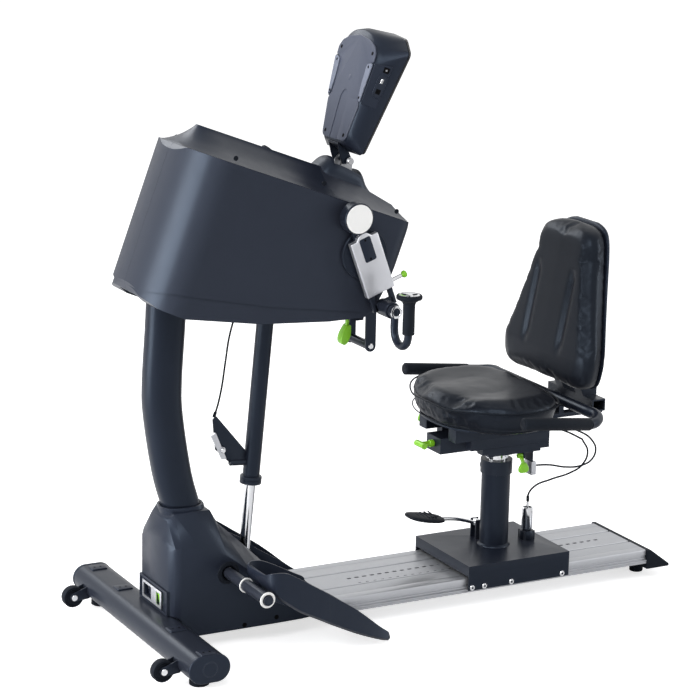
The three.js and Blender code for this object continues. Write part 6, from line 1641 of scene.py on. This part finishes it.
@dataclass
class Rail:
    """Aluminium rail with its grooves, index holes, scale and end cap."""

    rear: float = 411
    front: float = 1378
    top: float = 83
    hole_x: float = 1082
    pitch: float = 22

    def build(self) -> None:
        """Make the rail and its cap."""
        half = [(131, 47), (131, 50), (129.8, 51), (129.8, 52), (131, 53), (131, 56), (126, 58.5), (126, 62),
                (123.5, 62.6), (123.5, 68.4), (126, 69), (126, 80), (125, 82), (123, 83), (98, 83),
                (96.5, 82.4), (95, 83), (52, 83), (51, 81), (51, 80), (45, 80), (45, 81), (44, 83)]
        section = half + [(-y, z) for y, z in reversed(half)]
        rail = Shape.prism(section, self.rear, self.front, Plane.END)
        made = rail.piece("rail_bar", "base", ALUMINIUM, instead_of=["seat_rail"], sharp=20)
        holes = Shape()
        for i in range(-24, 11):
            x = self.hole_x + i * self.pitch
            holes.joined(Shape.prism(rounded(6.5, 4.0, 3.9, x, 0, 4), self.top - 17, self.top + 4,
                                     Plane.PLAN))
        hollowed(made, holes)
        marks = Shape()
        for i in range(14):
            x = 560 + i * 22
            marks.joined(Shape.block((x, -40, self.top - 0.3), (x + 8, -37.5, self.top + 0.08)))
        marks.piece("rail_scale", "base", RUBBER)
        Shape.copied("rail_end_cap").piece("rail_cap", "base", RUBBER, instead_of=["rail_end_cap"],
                                           rounding=2.0)


@dataclass
class Carriage:
    """Sliding carriage with its post, bolts, pedal and lock pin."""

    post_x: float = 981
    bolt_z: float = 61
    bolt_shares: tuple[float, ...] = (0.033, 0.152, 0.42, 0.93)
    rear: float = 826
    front: float = 1128

    def build(self) -> None:
        """Make the carriage and what it carries."""
        plate = Shape.copied("carriage")
        plate.piece("carriage_plate", "trolley", POWDER, instead_of=["carriage"], rounding=1.6)
        for side in Side:
            for number, share in enumerate(self.bolt_shares):
                x = self.rear + (self.front - self.rear) * share
                bolt = Shape.turned([(0, 137), (7.2, 137), (7.2, 139.6), (6, 141), (3, 141), (2.7, 139),
                                     (0, 139)], 24)
                bolt.moved(across(x, self.bolt_z))
                bolt.piece(f"carriage_bolt_{side.word}_{number}", "trolley", CHROME, mirrored(side))
        bead = Shape.turned([(37.5, 117.6), (43, 117.9), (42.6, 119.4), (40.6, 121.3), (38.6, 123.4),
                             (37.5, 124)],
                            56, True)
        bead.moved(Matrix.Translation((self.post_x, 0, 0))).piece("post_weld", "trolley", POWDER)
        screw = Shape.turned([(0, 40.5), (5, 40.5), (5, 43), (2.6, 43), (2.4, 41.6), (0, 41.6)], 20)
        screw.moved(Matrix.Translation((self.post_x, 0, 332)) @ Matrix.Rotation(math.radians(62), 4, "Z")
                    @ Matrix.Rotation(-math.pi / 2, 4, "X"))
        screw.piece("collar_screw", "trolley", STEEL)
        slider = Shape.turned([(21.9, 150), (30, 150), (30, 371), (21.9, 371)], 48, True)
        slider.moved(Matrix.Translation((self.post_x, 0, 0)))
        slider.piece("post_tube", "post", CHROME, instead_of=["post_slider"])
        self._pedal()
        self._lock()

    @staticmethod
    def _pedal() -> None:
        """Make the treaded pedal on its chrome rod."""
        rod = Shape.tube([(846, 62, 184), (905, 62, 176), (966, 62, 158), (1046, 62, 143)], 5.0, 4, 6)
        boss = Shape.turned([(4.6, 52), (10, 52), (11, 53), (11, 71), (10, 72), (4.6, 72)], 32, True)
        rod.joined(boss.moved(across(966, 158))).piece("pedal_rod", "pedal", CHROME)
        rings = []
        for x, z, half_y, half_z in ((758, 202, 20, 4), (770, 200, 36, 6.2), (800, 194, 42, 7.2),
                                     (835, 188, 38, 7.4), (856, 184, 22, 6.2)):
            rings.append([(x, 62 + u, z + v) for u, v in superoval(half_y, half_z, 2.8, 28)])
        paddle = Shape.bridged(rings).smoothed(1, 1)
        for x in (786, 798, 810, 822, 834):
            bar = Shape.tube([(x - 3, 36, 200), (x, 62, 203 - (x - 786) * 0.17), (x - 3, 88, 200)], 1.8, 2, 4)
            paddle.joined(bar)
        paddle.piece("pedal_pad", "pedal", RUBBER, instead_of=["foot_pedal"], sharp=40)

    @staticmethod
    def _lock() -> None:
        """Make the lock pin and the chrome sleeve of its housing."""
        pin = Shape.turned([(0, 83.6), (2.8, 83.6), (3.2, 84.2), (3.2, 113), (5, 113), (5, 202),
                            (3.2, 202), (3.2, 219), (0, 220)], 28)
        pin.moved(Matrix.Translation((1082, 0, 0))).piece("index_pin", "lock", CHROME,
                                                          instead_of=["lock_pin"])
        sleeve = Shape.turned([(11.1, 146), (13.6, 146), (14.2, 147), (14.2, 203), (13.2, 204),
                               (11.1, 204)], 36, True)
        sleeve.moved(Matrix.Translation((1082, 0, 0))).piece("lock_sleeve", "trolley", CHROME)
        foot = Shape.turned([(11.1, 118), (18.5, 118), (19.5, 120), (19.5, 138), (17, 142), (11.1, 143)],
                            36, True)
        foot.moved(Matrix.Translation((1082, 0, 0))).piece("lock_foot", "trolley", POWDER)


@dataclass
class SeatBase:
    """Swivel frame, slides, levers, seat tray and handlebar."""

    bar_half: float = 297
    bar_radius: float = 14
    grip_radius: float = 16

    def build(self) -> None:
        """Make the metalwork and the levers."""
        Shape.copied("swivel_frame").piece("swivel_head", "swivel", POWDER, instead_of=["swivel_frame"],
                                           rounding=1.2)
        corners = worked(Shape.block((760, -176, 440), (862, 176, 474.2)),
                         Shape.prism(superoval(133, 160, 2.3, 72, 915, 0), 430, 480,
                                     Plane.PLAN), "DIFFERENCE")
        tray = worked(Shape.copied("seat_pan"), corners, "DIFFERENCE")
        tray.piece("seat_tray", "seat", POWDER, instead_of=["seat_pan"], rounding=1.2)
        self._bar()
        self._knob()
        self._lever("swivel_handle", "turn_lever", "swivel_lever", (1002, -78, 375), -1, 20, 17)
        self._lever("slide_handle", "move_lever", "slide_lever", (850, 148, 461), 1, 12, 16)
        clip = Shape.block((1050, -62, 312), (1064, -26, 347)).bevelled(1.5, 2)
        clip.piece("cable_clip", "swivel", ZINC)

    def _bar(self) -> None:
        """Make the handlebar with its foam arms and end caps."""
        half, grips, ends = self.bar_half, Shape(), Shape()
        quarter = [(1062, half, 508), (1089, half - 12, 508), (1114, half - 44, 513), (1112, half - 90, 515),
                   (1112, half / 3, 515)]
        near = [(x, -y, z) for x, y, z in quarter]
        tube = Shape.tube([*near, *reversed(quarter)], self.bar_radius, 7, 10)
        tube.piece("bar_tube", "seat", POWDER, instead_of=["handlebar"], sharp=50)
        for side in Side:
            y = side.value * half
            grips.joined(Shape.rod((868, y, 530), (1064, y, 508), self.grip_radius, 48, 2.5))
            ends.joined(Shape.turned([(0, 0), (11, 0), (12, 0.8), (11, 1.6), (0, 1.8)], 36).moved(
                Matrix.Translation((868.6, y, 530)) @ Matrix.Rotation(-math.pi / 2 - 0.11, 4, "Y")))
        grips.piece("bar_grips", "seat", FOAM, sharp=50)
        ends.piece("bar_ends", "seat", RUBBER)

    @staticmethod
    def _knob() -> None:
        """Make the T-shaped slide knob."""
        stem = Shape.rod((758, 0, 413), (820, 0, 413), 7, 28)
        grip = Shape.tube([(752, -21, 413), (753, 0, 413), (752, 21, 413)], 8, 6, 8)
        collar = Shape.rod((776, 0, 413), (789, 0, 413), 9.5, 28, 2)
        stem.joined(grip, collar).piece("pull_knob", "knob", GREEN, instead_of=["slide_knob"])

    @staticmethod
    def _lever(name: str, body: str, node: str, place: Place, side: int, out: float, drop: float) -> None:
        """Make one green finger lever.

        Args:
            name: The piece's name.
            body: The body it rides on.
            node: The CAD node it stands for.
            place: Its pivot.
            side: The side it points to, along Y.
            out: How far the paddle stands out.
            drop: How far the paddle hangs down.
        """
        x, y, z = place
        boss = Shape.rod((x - 7, y, z), (x + 7, y, z), 6.5, 28, 1)
        arm = Shape.tube([(x, y, z), (x, y + side * out * 0.6, z - drop * 0.45),
                          (x, y + side * out, z - drop - 6)], 5, 4, 6)
        rings = []
        for share, half_x, half_y in ((0, 6, 4.5), (0.3, 12, 5.6), (0.6, 16, 6), (0.85, 15, 5.6), (1, 9, 4)):
            level = z - drop + 4 - 27 * share
            rings.append([(x + u, y + side * out + v, level) for u, v in superoval(half_x, half_y, 2.6, 24)])
        paddle = Shape.bridged(rings).smoothed(1, 1)
        boss.joined(arm, paddle).piece(name, body, GREEN, instead_of=[node], sharp=45)


@dataclass
class Cushions:
    """Seat and backrest: padded vinyl forms, their piping and the backrest's rear shell."""

    rear: float = 1081
    front: float = 749
    half: float = 228
    low: float = 474.4
    seam: float = 531
    crown: float = 551
    front_power: float = 2.15
    rear_power: float = 3.0
    taper: float = 0.1
    front_in: float = 14
    corners: int = 72
    voxel: float = 0.0055
    frames: int = 20
    cap: float = 0.008
    back_low: Pair = (1098, 551)
    back_high: Pair = (1163, 961)
    wide: float = 204
    thick: float = 58
    shell_thick: float = 11.6
    back_shares: tuple[Place, ...] = (
        (0, 0.78, 0.35), (0.015, 0.86, 0.18), (0.05, 0.94, 0.04), (0.12, 0.99, 0), (0.22, 1, 0),
        (0.4, 0.89, 0), (0.6, 0.765, 0), (0.78, 0.665, 0), (0.89, 0.6, 0), (0.955, 0.52, 0.05),
        (0.985, 0.4, 0.16), (1, 0.26, 0.35),
    )
    groove_y: float = 80
    groove_wide: float = 11
    groove_deep: float = 8
    groove_span: Pair = (0.19, 0.74)

    def build(self) -> None:
        """Make both cushions."""
        self._seat()
        self._backrest()

    def padded(self, made: bpy.types.Object, pressure: float) -> None:
        """Swell a cushion with a short cloth simulation, capped, and apply it.

        Args:
            made: The cushion.
            pressure: Pressure inside.
        """
        remesh = made.modifiers.new("remesh", "REMESH")
        remesh.mode = "VOXEL"
        remesh.voxel_size = self.voxel
        remesh.use_smooth_shade = True
        self._apply(made)
        before = [vertex.co.copy() for vertex in made.data.vertices]
        cloth = made.modifiers.new("cloth", "CLOTH")
        cloth.settings.use_pressure = True
        cloth.settings.uniform_pressure_force = pressure
        cloth.settings.effector_weights.gravity = 0
        cloth.settings.quality = 4
        cloth.point_cache.frame_start = 1
        cloth.point_cache.frame_end = self.frames
        scene = bpy.context.scene
        for number in range(1, self.frames + 1):
            scene.frame_set(number)
        self._apply(made)
        for vertex, start in zip(made.data.vertices, before):
            move = vertex.co - start
            if move.length > self.cap:
                vertex.co = start + move.normalized() * self.cap
        scene.frame_set(1)

    @staticmethod
    def _apply(made: bpy.types.Object) -> None:
        """Apply every modifier of a piece to its mesh."""
        bpy.context.view_layer.update()
        ready = bpy.data.meshes.new_from_object(made.evaluated_get(bpy.context.evaluated_depsgraph_get()))
        made.modifiers.clear()
        made.data = ready
        for polygon in ready.polygons:
            polygon.use_smooth = True

    def seat_ring(self, share: float, z: float, lift: float = 0.0) -> list[Place]:
        """List the corners of the seat at one level: round at the front, squarer at the rear.

        Args:
            share: Size of the ring as a share of the whole plan.
            z: Its level.
            lift: How much of the saddle form it takes.

        Returns:
            The corners in order.
        """
        centre = (self.front + self.rear) / 2
        half_x = (self.rear - self.front) / 2
        corners = []
        for i in range(self.corners):
            turn = 2 * math.pi * i / self.corners
            c, s = math.cos(turn), math.sin(turn)
            power = self.front_power if c < 0 else self.rear_power
            u = math.copysign(abs(c) ** (2 / power), c)
            v = math.copysign(abs(s) ** (2 / power), s)
            reach = half_x - (self.front_in if u < 0 else 0)
            narrowed = 1 - self.taper * max(0.0, -u)
            corners.append((centre + reach * share * u, self.half * share * v * narrowed,
                            z + lift * self.saddle(u * share, v * share)))
        return corners

    @staticmethod
    def saddle(ahead: float, aside: float) -> float:
        """Give the seat's rise over its plain crown: two thigh hollows, a raised rear and a falling front."""
        hollow = -9 * math.exp(-((abs(aside) - 0.42) / 0.22) ** 2) * (0.55 - 0.45 * ahead)
        middle = -4 * math.exp(-(aside / 0.2) ** 2) * max(0.0, ahead)
        return hollow + middle + 9 * max(0.0, ahead) ** 2 - 9 * max(0.0, -ahead) ** 3

    def _seat(self) -> None:
        """Make the seat cushion with its side band and piped seam."""
        rows = ((0.9, self.low, 0), (0.935, self.low + 8, 0), (0.955, self.low + 30, 0),
                (0.985, self.seam - 8, 0),
                (0.99, self.seam - 2, 0.4), (0.985, self.seam + 5, 0.6), (0.95, self.seam + 12, 0.8),
                (0.86, self.crown - 2, 1), (0.72, self.crown, 1), (0.55, self.crown - 1, 1),
                (0.36, self.crown - 3, 1), (0.16, self.crown - 4, 1))
        made = Shape.bridged([self.seat_ring(*row) for row in rows]).piece(
            "seat_pad", "seat", VINYL, instead_of=["seat_cushion"], sharp=80)
        self.padded(made, 3.0)
        outline = self.seat_ring(1.0, self.seam + 1, 0.5)
        welt = Shape.tube([*outline, outline[0]], 2.2, 3, 3)
        welt.piece("seat_welt", "seat", PIPING, sharp=60)
        low = self.seat_ring(0.957, self.low + 9)
        Shape.tube([*low, low[0]], 1.6, 3, 3).piece("seat_hem", "seat", PIPING, sharp=60)

    def at(self, share: float) -> float:
        """Give the backrest's front face in X at a share of its height, before its crown."""
        table = ((0, 0), (0.03, 0.06), (0.2, 0.14), (0.4, 0.38), (0.6, 0.62), (0.8, 0.84), (0.93, 0.95),
                 (1, 1))
        for (s0, v0), (s1, v1) in zip(table, table[1:]):
            if share <= s1:
                value = v0 + (v1 - v0) * (share - s0) / (s1 - s0)
                return self.back_low[0] + (self.back_high[0] - self.back_low[0]) * value
        return self.back_high[0]

    def back_rings(self, front: float, rear: float, grow: float) -> list[list[Place]]:
        """List the backrest's outline level by level, wide near its foot and round at its top.

        Args:
            front: Depth at which the body starts behind the front face.
            rear: Depth at which it ends.
            grow: Share of the width.

        Returns:
            The rings from the foot up.
        """
        across_shares = ((-1, 0.5), (-0.98, 0.26), (-0.92, 0.1), (-0.8, 0.02), (-0.6, 0), (-0.3, -0.01),
                         (0, -0.02),
                         (0.3, -0.01), (0.6, 0), (0.8, 0.02), (0.92, 0.1), (0.98, 0.26), (1, 0.5))
        rise, deep = self.back_high[1] - self.back_low[1], rear - front
        rings = []
        for share, width, inset in smooth_rows(self.back_shares, 44):
            z = self.back_low[1] + rise * share
            face, half = self.at(min(1.0, max(0.0, share))) + front, self.wide * width * grow
            ring = [(face + deep * min(0.9, depth + max(0.0, inset)), u * half, z) for u,
                    depth in across_shares]
            ring += [(face + deep, half * 0.95, z), (face + deep, -half * 0.95, z)]
            rings.append(ring)
        return rings

    def _backrest(self) -> None:
        """Make the backrest cushion with its two pressed grooves, and its rear shell."""
        made = Shape.bridged(self.back_rings(0, self.thick, 1)).piece(
            "back_pad", "seat", VINYL, instead_of=["backrest_cushion"], sharp=80)
        self.padded(made, 3.0)
        rise = self.back_high[1] - self.back_low[1]
        start, end = self.groove_span
        for vertex in made.data.vertices:
            if vertex.normal.x > -0.3:
                continue
            share = (vertex.co.z / METRE - self.back_low[1]) / rise
            along = max(0.0, min(1.0, (share - start) / 0.08)) * max(0.0, min(1.0, (end - share) / 0.08))
            aside = (abs(vertex.co.y) / METRE - self.groove_y) / self.groove_wide
            vertex.co.x += self.groove_deep * METRE * along * math.exp(-aside * aside)
        shell = Shape.bridged(self.back_rings(self.thick + 0.4, self.thick + self.shell_thick, 0.93))
        shell.piece("back_shell", "seat", CASING, instead_of=["backrest_shell"], rounding=3.0, sharp=50)


def dress_nodes() -> None:
    """Give the CAD nodes that stay their finish."""
    for node, finish in NODE_FINISHES.items():
        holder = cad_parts[node]
        holder.data.materials.clear()
        holder.data.materials.append(finish.material())


def main() -> None:
    """Build the whole machine."""
    logging.basicConfig(level=logging.INFO, format="%(message)s")
    bpy.context.scene.view_settings.view_transform = "Standard"
    Studio().build()
    Cables().build()
    for unit in (FootBar(), Column(), BaseHousing(), Footrests(), Strut(), Casing(), Console(), CrankSet(),
                 GrabHandle(), Rail(), Carriage(), SeatBase(), Cushions()):
        unit.build()
        LOG.info("finished %s", type(unit).__name__)
    dress_nodes()


if __name__ == "__main__":
    main()
